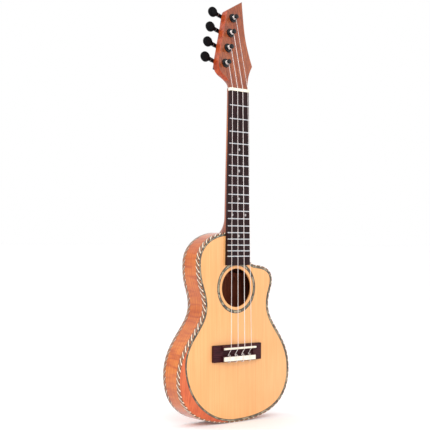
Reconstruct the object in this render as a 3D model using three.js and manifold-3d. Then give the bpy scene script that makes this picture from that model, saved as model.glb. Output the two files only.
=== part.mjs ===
// Thin-bodied concert ukulele with a cutaway, an armrest bevel and four geared tuners in one line.
// Millimetres. +Z runs up the neck, +X is the player's right seen from the front, and the front faces -Y.
// The origin is where the open strings' length starts: the nut's front edge, on the centre line,
// level with the top of the fretboard.
import * as THREE from "three";
import { mergeVertices } from "three/addons/utils/BufferGeometryUtils.js";
import Module from "manifold-3d";

const wasm = await Module();
wasm.setup();

// ---- Driving dimensions ----

// Scale and neck
const scaleLength = 380;
const fretCount = 18;
const joinFret = 14; // the neck meets the body under this fret
const nutWidth = 37;
const fretboardEndWidth = 45.6;
const fretboardThickness = 4.5;
const fretboardOverhang = 13.3; // of board past the last fret
const neckInset = 0.8; // the neck is this much narrower than the board on each side
const neckDepthAtNut = 16.8; // with the board
const neckDepthAtHeel = 20;
const neckRoundness = 1; // 1 is a half ellipse, less is squarer
const heelLength = 24;
const heelDepthGap = 2; // the heel's foot stops this far short of the back

// Frets
const fretCrownWidth = 2;
const fretCrownHeight = 1;
const fretTangWidth = 0.5;
const fretTangDepth = 1.6;
const fretEndInset = 0.3;
const fretSlotPlay = 0.05; // each side of the tang

// Nut
const nutLength = 4.5;
const nutTopAboveString = 0.6; // the slots are cut this much deeper than the string is thick
const nutBackSlope = 0.9;
const stringSpanAtNut = 30.6;
const stringHeightAtNut = 1.4; // string's middle above the board

// Body
const bodyDepth = 41; // at the deepest point of the arched back
const bodyDepthAtNeck = 33.5;
const deepestFromTail = 118;
const neckJointToUpperBout = 44;
const upperBoutToWaist = 65;
const waistToLowerBout = 100;
const lowerBoutToTail = 72;
const lowerBoutLeft = 106.2;
const lowerBoutRight = 110;
const waistLeft = 61.2;
const waistRight = 65.2;
const upperBoutLeft = 74.2;
const cutawayWallX = 24.5;
const cutawayDepth = 47.5; // from the neck joint down to the bottom of the scoop
const hornReach = 73;
const hornFromNeckJoint = 72;
const soundboardThickness = 2.2;
const backThickness = 2.2;
const rimThickness = 3;
const rimOverlap = 1.4; // of rim left behind the rope binding
const bindingHeight = 6;
const bindingEase = 0.7; // taken off the bindings' outer corners
const liningWidth = 5;
const liningHeight = 9;

// Armrest bevel, measured along the outline from the tail's middle
const armrestStart = 2;
const armrestEnd = 208;
const armrestWidth = 14.4;
const armrestDrop = 4.2;
const armrestUnderlap = 0.4; // of the block's floor below the dropped binding
const armrestSharpness = 2.1; // more keeps the bevel to the middle of its run
const armrestLeastWidth = 0.9; // the bevelled block ends where it would be narrower

// Sound hole and rosette
const soundHoleRadius = 28.7;
const soundHoleFromNeckJoint = 81.9;
const rosetteMargin = 4.3; // of soundboard between the hole and the rosette
const rosetteWidth = 5;
const rosetteDepth = 0.9;

// Bridge
const bridgeLength = 95;
const bridgeWidth = 24.7;
const bridgeFrontEdge = 3.8; // the bridge starts this much nearer the nut than the scale's end
const bridgeWingHeight = 4.6;
const bridgeWingTipHeight = 3.6;
const bridgeCornerRadius = 1.4;
const bridgeCentreLength = 65;
const bridgeBlockHeight = 8;
const saddleBlockWidth = 7.8;
const troughWidth = 8.2;
const troughHeight = 3;
const saddleLength = 62;
const saddleThickness = 2.8;
const saddleSlotDepth = 5;
const saddleSetback = 1.4; // of the saddle's middle past the scale's end
const stringSpanAtSaddle = 40;
const stringHeightAtSaddle = 7.25; // string's middle above the board's plane
const tieHoleHeight = 4.4; // above the soundboard
const tieHoleDiameter = 1.8;
const tieCapThickness = 1.4;
const tieCapWidth = 6.4;
const tieCapLength = 62;

// Strings, from the player's right to left as seen from the front
const stringDiameters = [0.62, 0.9, 0.82, 0.68];
const stringTailPastBlock = 1.2;

// Inside
const neckBlockWidth = 58;
const neckBlockLength = 26;
const tailBlockWidth = 60;
const tailBlockLength = 16;
const braceWidth = 6;
const braceHeight = 8;
const bridgePlateLength = 92;
const bridgePlateWidth = 34;
const bridgePlateThickness = 1.6;

// Headstock
const headstockTilt = 10; // degrees
const headstockThickness = 13;
const headstockRootInset = 2; // of the headstock's root from the nut's ends
const headstockFaceY = 1; // where the face's plane meets the nut
const headstockFaceZ = 4;

// Tuners
const tunerRowAngle = 18.8; // degrees off the headstock's long axis
const tunerSpacing = 25.9;
const firstPost = { x: -21.9, w: 37.4 };
const postRadius = 3;
const postProud = 10.5; // of the post in front of the face
const postCapRadius = 3.7;
const postCapLength = 2.6;
const stringHoleDiameter = 1.4; // through the post
const windingHeight = 4.2; // of the string's turns above the face
const bushingWall = 0.9;
const bushingFlangeWidth = 2.6;
const bushingFlangeThickness = 1.6;
const wormBehindHead = 5.5; // of the button's shaft behind the headstock's back
const wormOffset = 5.5; // of the shaft from the post's axis
const wormCoreRadius = 1.25;
const wormRadius = 1.7;
const wormLength = 8;
const wormPitch = 1.6;
const wheelTeeth = 14;
const wheelThickness = 3.2;
const wheelToothDepth = 0.5;
const wheelHub = 0.2; // of the post past its wheel
const housingWall = 1.3;
const housingSnoutRadius = 3;
const housingSnoutLength = 6.5;
const buttonReach = 25.3; // of the button's middle from the post's axis
const buttonRadius = 7.9;
const buttonThickness = 7;
const buttonBossRadius = 2.9;

// Clearances
const glueGap = 0.1; // between glued faces that are not plain planes
const runningGap = 0.3; // round what turns
const stringGap = 0.12; // under a string where it crosses nut and saddle

// ---- Derived positions ----

const fretDistance = (n) => scaleLength * (1 - 2 ** (-n / 12));
const neckJointZ = -fretDistance(joinFret);
const upperBoutZ = neckJointZ - neckJointToUpperBout;
const waistZ = upperBoutZ - upperBoutToWaist;
const lowerBoutZ = waistZ - waistToLowerBout;
const tailZ = lowerBoutZ - lowerBoutToTail;
const topY = fretboardThickness; // the soundboard's front
const boardEndZ = -(fretDistance(fretCount) + fretboardOverhang);
const bindingWidth = rimThickness - rimOverlap;
const soundHoleZ = neckJointZ - soundHoleFromNeckJoint;
const rosetteInnerRadius = soundHoleRadius + rosetteMargin;
const bridgeTopZ = -(scaleLength - bridgeFrontEdge);
const bridgeBottomZ = bridgeTopZ - bridgeWidth;
const bridgeMiddleZ = (bridgeTopZ + bridgeBottomZ) / 2;
const saddleZ = -(scaleLength + saddleSetback);
const tilt = THREE.MathUtils.degToRad(headstockTilt);
const rowAngle = THREE.MathUtils.degToRad(tunerRowAngle);
const wheelRadius = wormOffset - wormRadius - runningGap;
const wormDepth = headstockThickness + wormBehindHead;
const bushingRadius = postRadius + runningGap + bushingWall;
const bushingFlangeRadius = bushingRadius + bushingFlangeWidth;
const stringCount = stringDiameters.length;

const boardHalfWidth = (z) =>
  (nutWidth + ((fretboardEndWidth - nutWidth) * z) / boardEndZ) / 2;

// The arched back's depth below the soundboard's front, greatest over the lower bout.
const deepestZ = tailZ + deepestFromTail;
const depthAt = (z) =>
  bodyDepth - (bodyDepth - bodyDepthAtNeck) * ((z - deepestZ) / (neckJointZ - deepestZ)) ** 2;

const stringX = (i, span) => span * (0.5 - i / (stringCount - 1));

// ---- Geometry helpers ----

// A three.js geometry as a manifold-3d solid.
function toSolid(geometry) {
  const plain = (geometry.index ? geometry.toNonIndexed() : geometry).clone();
  plain.deleteAttribute("normal");
  plain.deleteAttribute("uv");
  const merged = mergeVertices(plain, 1e-4);
  const mesh = new wasm.Mesh({
    numProp: 3,
    vertProperties: new Float32Array(merged.attributes.position.array),
    triVerts: new Uint32Array(merged.index.array),
  });
  return new wasm.Manifold(mesh);
}

// A manifold-3d solid as a three.js geometry.
function toGeometry(solid) {
  const mesh = solid.getMesh();
  const geometry = new THREE.BufferGeometry();
  geometry.setAttribute("position", new THREE.BufferAttribute(mesh.vertProperties, 3));
  geometry.setIndex(new THREE.BufferAttribute(mesh.triVerts, 1));
  geometry.computeVertexNormals();
  return geometry;
}

const join = (...parts) => toGeometry(parts.map(toSolid).reduce((a, b) => a.add(b)));
const cut = (body, ...tools) =>
  toGeometry(tools.map(toSolid).reduce((a, b) => a.subtract(b), toSolid(body)));
const common = (...parts) => toGeometry(parts.map(toSolid).reduce((a, b) => a.intersect(b)));

// A box between two corners.
function boxBetween([x0, y0, z0], [x1, y1, z1]) {
  const box = new THREE.BoxGeometry(x1 - x0, y1 - y0, z1 - z0);
  return box.translate((x0 + x1) / 2, (y0 + y1) / 2, (z0 + z1) / 2);
}

// A plan shape drawn in x and z, as a slab between two depths.
function slab(shape, yFront, yBack) {
  const options = { depth: yBack - yFront, bevelEnabled: false, curveSegments: 24 };
  return new THREE.ExtrudeGeometry(shape, options).rotateX(Math.PI / 2).translate(0, yBack, 0);
}

// A side profile drawn in z and y, as a bar along x.
function bar(profile, xFrom, xTo) {
  const options = { depth: xTo - xFrom, bevelEnabled: false, curveSegments: 8 };
  const geometry = new THREE.ExtrudeGeometry(profile, options);
  geometry.applyMatrix4(new THREE.Matrix4().set(0, 0, -1, xTo, 0, 1, 0, 0, 1, 0, 0, 0, 0, 0, 0, 1));
  return geometry;
}

const polygon = (points) => new THREE.Shape(points.map(([a, b]) => new THREE.Vector2(a, b)));

// A skin over cross-sections of equal length: a closed ring of them, or an open run with end caps.
function loft(sections, closed) {
  const count = sections[0].length;
  const positions = sections.flatMap((section) => section.flatMap((p) => [p.x, p.y, p.z]));
  const indices = [];
  const runs = closed ? sections.length : sections.length - 1;
  for (let i = 0; i < runs; i++) {
    const here = i * count;
    const next = ((i + 1) % sections.length) * count;
    for (let j = 0; j < count; j++) {
      const k = (j + 1) % count;
      indices.push(here + j, next + j, next + k, here + j, next + k, here + k);
    }
  }
  if (!closed) {
    const last = (sections.length - 1) * count;
    for (const [a, b, c] of capTriangles(sections[0])) indices.push(a, b, c);
    for (const [a, b, c] of capTriangles(sections.at(-1))) indices.push(last + a, last + c, last + b);
  }
  const geometry = new THREE.BufferGeometry();
  geometry.setAttribute("position", new THREE.Float32BufferAttribute(positions, 3));
  geometry.setIndex(indices);
  return facingOut(geometry);
}

// Triangles over one flat cross-section, wound the way its points run.
function capTriangles(section) {
  const origin = section[0];
  const normal = new THREE.Vector3();
  section.forEach((p, i) => {
    const q = section[(i + 1) % section.length];
    normal.add(new THREE.Vector3().crossVectors(p.clone().sub(origin), q.clone().sub(origin)));
  });
  const turn = new THREE.Quaternion().setFromUnitVectors(
    normal.normalize(), new THREE.Vector3(0, 0, 1));
  const flat = section.map((p) => {
    const q = p.clone().sub(origin).applyQuaternion(turn);
    return new THREE.Vector2(q.x, q.y);
  });
  return THREE.ShapeUtils.triangulateShape(flat, []);
}

// The same geometry, turned inside out where its faces point inwards.
function facingOut(geometry) {
  const p = geometry.attributes.position;
  const index = geometry.index.array;
  const [a, b, c] = [new THREE.Vector3(), new THREE.Vector3(), new THREE.Vector3()];
  let volume = 0;
  for (let i = 0; i < index.length; i += 3) {
    a.fromBufferAttribute(p, index[i]);
    b.fromBufferAttribute(p, index[i + 1]);
    c.fromBufferAttribute(p, index[i + 2]);
    volume += a.dot(b.cross(c));
  }
  if (volume < 0) {
    for (let i = 0; i < index.length; i += 3)
      [index[i + 1], index[i + 2]] = [index[i + 2], index[i + 1]];
  }
  geometry.computeVertexNormals();
  return geometry;
}

// A round part about the y axis, from [radius, y] pairs of a closed profile.
function turned(profile, segments = 20) {
  const points = profile.map(([r, y]) => new THREE.Vector2(r, y));
  return facingOut(indexed(new THREE.LatheGeometry(points, segments)));
}

function indexed(geometry) {
  geometry.deleteAttribute("normal");
  geometry.deleteAttribute("uv");
  return mergeVertices(geometry, 1e-5);
}

// A plain cylinder between two points.
function rod(from, to, radius, segments = 16) {
  const axis = new THREE.Vector3().subVectors(to, from);
  const geometry = new THREE.CylinderGeometry(radius, radius, axis.length(), segments);
  const turn = new THREE.Quaternion().setFromUnitVectors(
    new THREE.Vector3(0, 1, 0), axis.clone().normalize());
  return geometry.applyQuaternion(turn).translate(...axis.multiplyScalar(0.5).add(from).toArray());
}

function makeMesh(name, geometry, color, roughness, metalness = 0) {
  const material = new THREE.MeshStandardMaterial({ color, roughness, metalness });
  const mesh = new THREE.Mesh(geometry, material);
  mesh.name = name;
  return mesh;
}

// ---- Body outline ----

const outlinePieces = 10; // straight pieces in each of the outline's curves

// The outline in x and z, clockwise from the tail's middle as seen from the front.
function bodyOutline() {
  const lowerZ = lowerBoutZ;
  const upperZ = upperBoutZ;
  const hornZ = neckJointZ - hornFromNeckJoint;
  const scoopZ = neckJointZ - cutawayDepth;
  const shoulderX = -18; // where the shoulder runs level into the neck joint
  const pull = (from, to, share) => from + (to - from) * share;
  const path = new THREE.Path();
  path.moveTo(0, tailZ);
  path.bezierCurveTo(
    -lowerBoutLeft * 0.48, tailZ, -lowerBoutLeft, pull(lowerZ, tailZ, 0.83), -lowerBoutLeft, lowerZ);
  path.bezierCurveTo(
    -lowerBoutLeft, pull(lowerZ, waistZ, 0.51), -waistLeft, pull(waistZ, lowerZ, 0.31),
    -waistLeft, waistZ);
  path.bezierCurveTo(
    -waistLeft, pull(waistZ, upperZ, 0.35), -upperBoutLeft, pull(upperZ, waistZ, 0.54),
    -upperBoutLeft, upperZ);
  path.bezierCurveTo(
    -upperBoutLeft, pull(upperZ, neckJointZ, 0.66), pull(shoulderX, -upperBoutLeft, 0.46), neckJointZ,
    shoulderX, neckJointZ);
  path.lineTo(cutawayWallX, neckJointZ);
  const wallEndZ = pull(neckJointZ, scoopZ, 0.62);
  path.lineTo(cutawayWallX, wallEndZ);
  path.bezierCurveTo(
    cutawayWallX, pull(wallEndZ, scoopZ, 0.75), cutawayWallX + 5.5, scoopZ, cutawayWallX + 14, scoopZ - 0.8);
  path.bezierCurveTo(
    cutawayWallX + 29, scoopZ - 2, hornReach, pull(scoopZ, hornZ, 0.22), hornReach, hornZ);
  path.bezierCurveTo(
    hornReach, pull(hornZ, waistZ, 0.34), waistRight, pull(waistZ, hornZ, 0.52), waistRight, waistZ);
  path.bezierCurveTo(
    waistRight, pull(waistZ, lowerZ, 0.31), lowerBoutRight, pull(lowerZ, waistZ, 0.51),
    lowerBoutRight, lowerZ);
  path.bezierCurveTo(
    lowerBoutRight, pull(lowerZ, tailZ, 0.83), lowerBoutRight * 0.48, tailZ, 0, tailZ);
  return path.curves.flatMap((curve) => {
    const pieces = curve.isLineCurve ? 1 : outlinePieces;
    return curve.getPoints(pieces).slice(0, -1);
  });
}

// Each outline point with the inward direction that keeps walls even round corners,
// and its distance along the outline from the tail's middle.
const outline = (() => {
  const points = bodyOutline();
  const inward = points.map((p, i) => {
    const q = points[(i + 1) % points.length];
    const along = q.clone().sub(p).normalize();
    return new THREE.Vector2(along.y, -along.x);
  });
  let travelled = 0;
  return points.map((p, i) => {
    const before = inward[(i + points.length - 1) % points.length];
    const after = inward[i];
    const miter = before.clone().add(after).multiplyScalar(1 / (1 + before.dot(after)));
    if (i) travelled += p.distanceTo(points[i - 1]);
    return { x: p.x, z: p.y, inX: miter.x, inZ: miter.y, s: travelled };
  });
})();

const armrestShare = (s) => {
  const t = (s - armrestStart) / (armrestEnd - armrestStart);
  return t > 0 && t < 1 ? Math.sin(Math.PI * t) ** armrestSharpness : 0;
};
const bevelInset = (at) => armrestWidth * armrestShare(at.s);
const bevelDrop = (at) => armrestDrop * armrestShare(at.s);

// The point that lies `inset` inside the outline and `depth` behind the soundboard's front.
const bodyPoint = (at, inset, depth) =>
  new THREE.Vector3(at.x + at.inX * inset, topY + depth, at.z + at.inZ * inset);

// The outline as a plan shape, drawn in by a distance that may vary along it.
function planShape(insetAt) {
  return new THREE.Shape(outline.map((at) => {
    const inset = insetAt(at);
    return new THREE.Vector2(at.x + at.inX * inset, at.z + at.inZ * inset);
  }));
}

// A ring that follows the outline, with a cross-section of [inset, depth] pairs.
const outlineRing = (section) =>
  loft(outline.map((at) => section(at).map(([inset, depth]) => bodyPoint(at, inset, depth))), true);

// The back's outer face over a point of the outline, and the room inside the back.
const backDepth = (at, inset) => depthAt(at.z + at.inZ * inset);
const backInnerDepth = (at, inset) => backDepth(at, inset) - backThickness - glueGap;
const armrestFloor = (at) => Math.max(soundboardThickness, bevelDrop(at) + armrestUnderlap);

// Everything between the soundboard and the back's inner face, `clearance` inside the rim.
function innerSpace(clearance) {
  const yFront = topY + soundboardThickness;
  const plan = slab(planShape(() => rimThickness + clearance), yFront, topY + bodyDepth);
  return common(plan, archedSlab(soundboardThickness, () => backThickness + glueGap));
}

// A slab over the whole body from a flat front to a curve that follows the back.
function archedSlab(frontDepth, aboveBack) {
  const stations = 24;
  const zFrom = tailZ - 10;
  const zTo = neckJointZ + 10;
  const zAt = (i) => zFrom + ((zTo - zFrom) * i) / stations;
  const back = Array.from({ length: stations + 1 }, (_, i) => [
    zAt(i), topY + depthAt(zAt(i)) - aboveBack(zAt(i))]);
  const reach = Math.max(lowerBoutLeft, lowerBoutRight) + 10;
  return bar(polygon([[zTo, topY + frontDepth], [zFrom, topY + frontDepth], ...back]), -reach, reach);
}

// ---- Body parts ----

function makeSoundboard() {
  const shape = planShape((at) => bindingWidth + glueGap + bevelInset(at));
  const hole = new THREE.Path();
  hole.absarc(0, soundHoleZ, soundHoleRadius, 0, 2 * Math.PI);
  shape.holes.push(hole);
  const channel = ringShape(rosetteInnerRadius - glueGap, rosetteInnerRadius + rosetteWidth + glueGap);
  const tool = slab(channel, topY - 1, topY + rosetteDepth + glueGap);
  return cut(slab(shape, topY, topY + soundboardThickness), tool);
}

function ringShape(innerRadius, outerRadius) {
  const shape = new THREE.Shape().absarc(0, soundHoleZ, outerRadius, 0, 2 * Math.PI);
  const hole = new THREE.Path().absarc(0, soundHoleZ, innerRadius, 0, 2 * Math.PI);
  shape.holes.push(hole);
  return shape;
}

const makeRosette = () =>
  slab(ringShape(rosetteInnerRadius, rosetteInnerRadius + rosetteWidth), topY, topY + rosetteDepth);

// The back is a bent plate, cut to the outline inside its binding.
function makeBack() {
  const plan = slab(planShape(() => bindingWidth + glueGap), topY, topY + bodyDepth + 5);
  const outer = archedSlab(0, () => 0);
  const inner = archedSlab(-5, () => backThickness);
  return cut(common(plan, outer), inner);
}

// The rim's full wall lies between the bindings; behind them it is thinner.
function makeRim() {
  return outlineRing((at) => {
    const frontLedge = bevelDrop(at) + bindingHeight + glueGap;
    const backLedge = (inset) => backDepth(at, inset) - bindingHeight - glueGap;
    const tongue = bindingWidth + glueGap; // where the thinner wall behind the bindings starts
    return [
      [0, frontLedge],
      [tongue, frontLedge],
      [tongue, armrestFloor(at) + glueGap],
      [rimThickness, armrestFloor(at) + glueGap],
      [rimThickness, backInnerDepth(at, rimThickness)],
      [tongue, backInnerDepth(at, tongue)],
      [tongue, backLedge(tongue)],
      [0, backLedge(0)],
    ];
  });
}

const makeFrontBinding = () =>
  outlineRing((at) => [
    [0, bevelDrop(at) + bindingEase],
    [bindingEase, bevelDrop(at)],
    [bindingWidth, bevelDrop(at)],
    [bindingWidth, bevelDrop(at) + bindingHeight],
    [0, bevelDrop(at) + bindingHeight],
  ]);

const makeBackBinding = () =>
  outlineRing((at) => [
    [0, backDepth(at, 0) - bindingHeight],
    [bindingWidth, backDepth(at, bindingWidth) - bindingHeight],
    [bindingWidth, backDepth(at, bindingWidth)],
    [bindingEase, backDepth(at, bindingEase)],
    [0, backDepth(at, 0) - bindingEase],
  ]);

// The bevelled block between the soundboard's drawn-in edge and the lowered binding.
function makeArmrest() {
  const run = outline.filter((at) => bevelInset(at) > armrestLeastWidth);
  return loft(run.map((at) => {
    const edge = bindingWidth + bevelInset(at);
    const drop = bevelDrop(at) - glueGap;
    const section = [
      [edge, 0],
      [edge * 0.5, drop * 0.38],
      [0.2, drop],
      [bindingWidth + glueGap, drop],
      [bindingWidth + glueGap, armrestFloor(at)],
      [edge, armrestFloor(at)],
    ];
    return section.map(([inset, depth]) => bodyPoint(at, inset, depth));
  }), false);
}

const frontLining = () =>
  outlineRing((at) => {
    const top = armrestFloor(at) + glueGap;
    return [
      [rimThickness + glueGap, top],
      [rimThickness + liningWidth, top],
      [rimThickness + liningWidth, top + liningHeight * 0.4],
      [rimThickness + glueGap, top + liningHeight],
    ];
  });

const backLining = () =>
  outlineRing((at) => {
    const outer = rimThickness + glueGap;
    const inner = rimThickness + liningWidth;
    const foot = (inset) => backInnerDepth(at, inset) - glueGap;
    return [
      [outer, foot(outer)],
      [outer, foot(outer) - liningHeight],
      [inner, foot(inner) - liningHeight * 0.4],
      [inner, foot(inner)],
    ];
  });

// The blocks reach from the soundboard to the back and fill the ends of the body.
const blockRoom = (clearance) => ({
  neck: boxBetween(
    [-neckBlockWidth / 2 - clearance, topY - 5, neckJointZ - rimThickness - neckBlockLength - clearance],
    [neckBlockWidth / 2 + clearance, topY + bodyDepth, neckJointZ]),
  tail: boxBetween(
    [-tailBlockWidth / 2 - clearance, topY - 5, tailZ],
    [tailBlockWidth / 2 + clearance, topY + bodyDepth,
      tailZ + rimThickness + tailBlockLength + clearance]),
});

const makeNeckBlock = () => common(blockRoom(0).neck, blockSpace());

// The tail block's front left edge is pared away under the armrest.
const makeTailBlock = () => common(blockRoom(0).tail, blockSpace());

function blockSpace() {
  const nearTail = outline.filter((at) => Math.abs(at.x) < tailBlockWidth / 2 + armrestWidth);
  const deepest = Math.max(...nearTail.map(armrestFloor));
  const room = innerSpace(glueGap);
  const underArmrest = boxBetween(
    [-lowerBoutLeft, topY - 1, tailZ], [0, topY + deepest + glueGap, tailZ + tailBlockLength * 2]);
  return cut(room, underArmrest);
}

// One straight brace across the body, its ends let into the lining.
function crossBrace(z, depthFrom, depthTo) {
  return boxBetween(
    [-lowerBoutLeft, topY + depthFrom, z - braceWidth / 2],
    [lowerBoutRight, topY + depthTo, z + braceWidth / 2]);
}

function makeFrontLining() {
  const front = soundboardThickness;
  const aboveHole = soundHoleZ + rosetteInnerRadius + rosetteWidth + braceWidth;
  const belowHole = soundHoleZ - rosetteInnerRadius - rosetteWidth - braceWidth;
  const braces = [aboveHole, belowHole].map((z) => crossBrace(z, front, front + braceHeight));
  const trimmed = braces.map((brace) => common(brace, innerSpace(glueGap)));
  return cut(join(frontLining(), ...trimmed), ...Object.values(blockRoom(runningGap)));
}

function makeBackLining() {
  const places = [soundHoleZ + 18, (soundHoleZ + bridgeMiddleZ) / 2, bridgeMiddleZ - 42];
  const braces = places.map((z) => {
    const back = depthAt(z) - backThickness;
    return crossBrace(z, back - braceHeight, back);
  });
  const room = common(
    slab(planShape(() => rimThickness + glueGap), topY, topY + bodyDepth),
    archedSlab(0, () => backThickness + 2 * glueGap));
  const trimmed = braces.map((brace) => common(brace, room));
  return cut(join(backLining(), ...trimmed), ...Object.values(blockRoom(runningGap)));
}

function makeBridgePlate() {
  const half = bridgePlateLength / 2;
  const front = topY + soundboardThickness;
  return boxBetween(
    [-half, front, bridgeMiddleZ - bridgePlateWidth / 2],
    [half, front + bridgePlateThickness, bridgeMiddleZ + bridgePlateWidth / 2]);
}

// ---- Bridge, saddle and tie-block cap ----

const blockTopY = topY - bridgeBlockHeight;
const troughStartZ = bridgeTopZ - saddleBlockWidth;
const tieBlockZ = troughStartZ - troughWidth;
const tieHoleY = topY - tieHoleHeight;
const tieCapGap = 0.02;

function makeBridge() {
  const centre = bar(polygon([
    [bridgeTopZ, topY],
    [bridgeTopZ, topY - bridgeWingHeight],
    [bridgeTopZ - 1.6, blockTopY],
    [troughStartZ, blockTopY],
    [troughStartZ, topY - troughHeight],
    [tieBlockZ, topY - troughHeight],
    [tieBlockZ, blockTopY],
    [bridgeBottomZ + 0.8, blockTopY],
    [bridgeBottomZ, blockTopY + 1],
    [bridgeBottomZ, topY],
  ]), -bridgeCentreLength / 2, bridgeCentreLength / 2);
  const wings = common(
    slab(roundedPlan(bridgeLength, bridgeWidth, bridgeCornerRadius), topY - bridgeWingHeight, topY),
    slopedWings());
  const slotHalf = (saddleThickness + glueGap) / 2;
  const saddleSlot = boxBetween(
    [-(saddleLength + glueGap) / 2, blockTopY - 1, saddleZ - slotHalf],
    [(saddleLength + glueGap) / 2, blockTopY + saddleSlotDepth, saddleZ + slotHalf]);
  const holes = stringDiameters.map((_, i) => {
    const x = stringX(i, stringSpanAtSaddle);
    return rod(
      new THREE.Vector3(x, tieHoleY, tieBlockZ + 1), new THREE.Vector3(x, tieHoleY, bridgeBottomZ - 1),
      tieHoleDiameter / 2, 12);
  });
  const trough = boxBetween(
    [-bridgeCentreLength / 2 + 3, blockTopY - 1, tieBlockZ],
    [bridgeCentreLength / 2 - 3, topY - troughHeight, troughStartZ]);
  return cut(join(centre, wings), trough, saddleSlot, ...holes);
}

// The wings thin out from the centre block to their tips.
function slopedWings() {
  const [tip, root] = [bridgeLength / 2, bridgeCentreLength / 2];
  const profile = polygon([
    [-tip, topY],
    [-tip, topY - bridgeWingTipHeight],
    [-root, topY - bridgeWingHeight],
    [root, topY - bridgeWingHeight],
    [tip, topY - bridgeWingTipHeight],
    [tip, topY],
  ]);
  const options = { depth: bridgeWidth, bevelEnabled: false };
  return new THREE.ExtrudeGeometry(profile, options).translate(0, 0, bridgeBottomZ);
}

// A rectangle with round corners about the bridge's middle, in x and z.
function roundedPlan(length, width, radius) {
  const [x, z] = [length / 2, width / 2];
  const shape = new THREE.Shape();
  shape.absarc(x - radius, bridgeMiddleZ + z - radius, radius, 0, Math.PI / 2);
  shape.absarc(-x + radius, bridgeMiddleZ + z - radius, radius, Math.PI / 2, Math.PI);
  shape.absarc(-x + radius, bridgeMiddleZ - z + radius, radius, Math.PI, 1.5 * Math.PI);
  shape.absarc(x - radius, bridgeMiddleZ - z + radius, radius, 1.5 * Math.PI, 2 * Math.PI);
  return shape;
}

const thickestString = Math.max(...stringDiameters);
const saddleTopY = -stringHeightAtSaddle + thickestString / 2 + stringGap;

function makeSaddle() {
  const half = saddleThickness / 2;
  const foot = blockTopY + saddleSlotDepth;
  const profile = polygon([
    [saddleZ + half, foot],
    [saddleZ + half, saddleTopY + 1],
    [saddleZ + half * 0.4, saddleTopY],
    [saddleZ - half * 0.4, saddleTopY],
    [saddleZ - half, saddleTopY + 1],
    [saddleZ - half, foot],
  ]);
  return bar(profile, -saddleLength / 2, saddleLength / 2);
}

function makeTieCap() {
  const middle = (tieBlockZ + bridgeBottomZ) / 2;
  return boxBetween(
    [-tieCapLength / 2, blockTopY - tieCapThickness, middle - tieCapWidth / 2],
    [tieCapLength / 2, blockTopY - tieCapGap, middle + tieCapWidth / 2]);
}

// ---- Fretboard, frets and nut ----

function makeFretboard() {
  const plan = polygon([
    [-nutWidth / 2, 0],
    [nutWidth / 2, 0],
    [fretboardEndWidth / 2, boardEndZ],
    [-fretboardEndWidth / 2, boardEndZ],
  ]);
  const slotHalf = fretTangWidth / 2 + fretSlotPlay;
  const slots = Array.from({ length: fretCount }, (_, i) => {
    const z = -fretDistance(i + 1);
    return boxBetween(
      [-fretboardEndWidth, -1, z - slotHalf], [fretboardEndWidth, fretTangDepth + glueGap, z + slotHalf]);
  });
  return cut(slab(plan, 0, fretboardThickness), ...slots);
}

function makeFret(n) {
  const z = -fretDistance(n);
  const reach = boardHalfWidth(z) - fretEndInset;
  const crown = Array.from({ length: 7 }, (_, i) => {
    const angle = (Math.PI * i) / 6;
    return [z + (fretCrownWidth / 2) * Math.cos(angle), -fretCrownHeight * Math.sin(angle)];
  });
  const tang = fretTangWidth / 2;
  return bar(polygon([...crown, [z - tang, 0], [z - tang, fretTangDepth],
    [z + tang, fretTangDepth], [z + tang, 0]]), -reach, reach);
}

function makeNut() {
  const top = -stringHeightAtNut - nutTopAboveString;
  const profile = polygon([
    [0, fretboardThickness],
    [0, top],
    [nutLength * 0.6, top],
    [nutLength, top + nutBackSlope],
    [nutLength, fretboardThickness],
  ]);
  const slots = stringDiameters.map((diameter, i) => {
    const x = stringX(i, stringSpanAtNut);
    const half = diameter / 2 + stringGap;
    return boxBetween([x - half, top - 1, -1], [x + half, -stringHeightAtNut + half, nutLength + 1]);
  });
  return cut(bar(profile, -nutWidth / 2, nutWidth / 2), ...slots);
}

// ---- Neck and headstock ----

const headstockFrame = new THREE.Group();
headstockFrame.position.set(0, headstockFaceY, headstockFaceZ);
headstockFrame.rotation.x = -tilt;
headstockFrame.updateMatrixWorld(true);

// A point of the headstock: across, behind the face, and up along it.
const headPoint = (x, behind, up) =>
  new THREE.Vector3(x, behind, up).applyMatrix4(headstockFrame.matrixWorld);

const postPlace = (i) => ({
  x: firstPost.x + i * tunerSpacing * Math.sin(rowAngle),
  w: firstPost.w + i * tunerSpacing * Math.cos(rowAngle),
});

// The face's outline: two shoulders, a straight row edge on the left and a slanted tip.
function headstockShape() {
  const rootX = nutWidth / 2 - headstockRootInset;
  const shape = new THREE.Shape();
  shape.moveTo(rootX, -1);
  shape.bezierCurveTo(rootX, 14, rootX + 7, 26, 32.3, 37.5);
  shape.bezierCurveTo(28, 56, 24.6, 72, 24.6, 92);
  shape.bezierCurveTo(24.6, 108, 25.6, 124, 26.5, 140.6);
  shape.lineTo(-3.6, 124.2);
  shape.bezierCurveTo(-5, 123.4, -5.9, 122.2, -6.4, 120.8);
  shape.lineTo(-34.2, 43);
  shape.bezierCurveTo(-37.8, 32.5, -36, 23.2, -rootX - 10, 18);
  shape.bezierCurveTo(-rootX - 3.5, 13.2, -rootX, 8, -rootX, -1);
  return shape;
}

// One D-shaped cross-section of the neck, from its flat top to its round back.
function neckSection(z, halfWidth, backY, roundness) {
  const steps = 14;
  return Array.from({ length: steps + 1 }, (_, i) => {
    const angle = (Math.PI * i) / steps;
    const across = Math.sign(Math.cos(angle)) * Math.abs(Math.cos(angle)) ** roundness;
    return new THREE.Vector3(
      halfWidth * across, fretboardThickness + (backY - fretboardThickness) * Math.sin(angle), z);
  });
}

const heelSteps = 7;
const heelSweep = 2.2; // more keeps the heel's swell nearer the body

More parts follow.
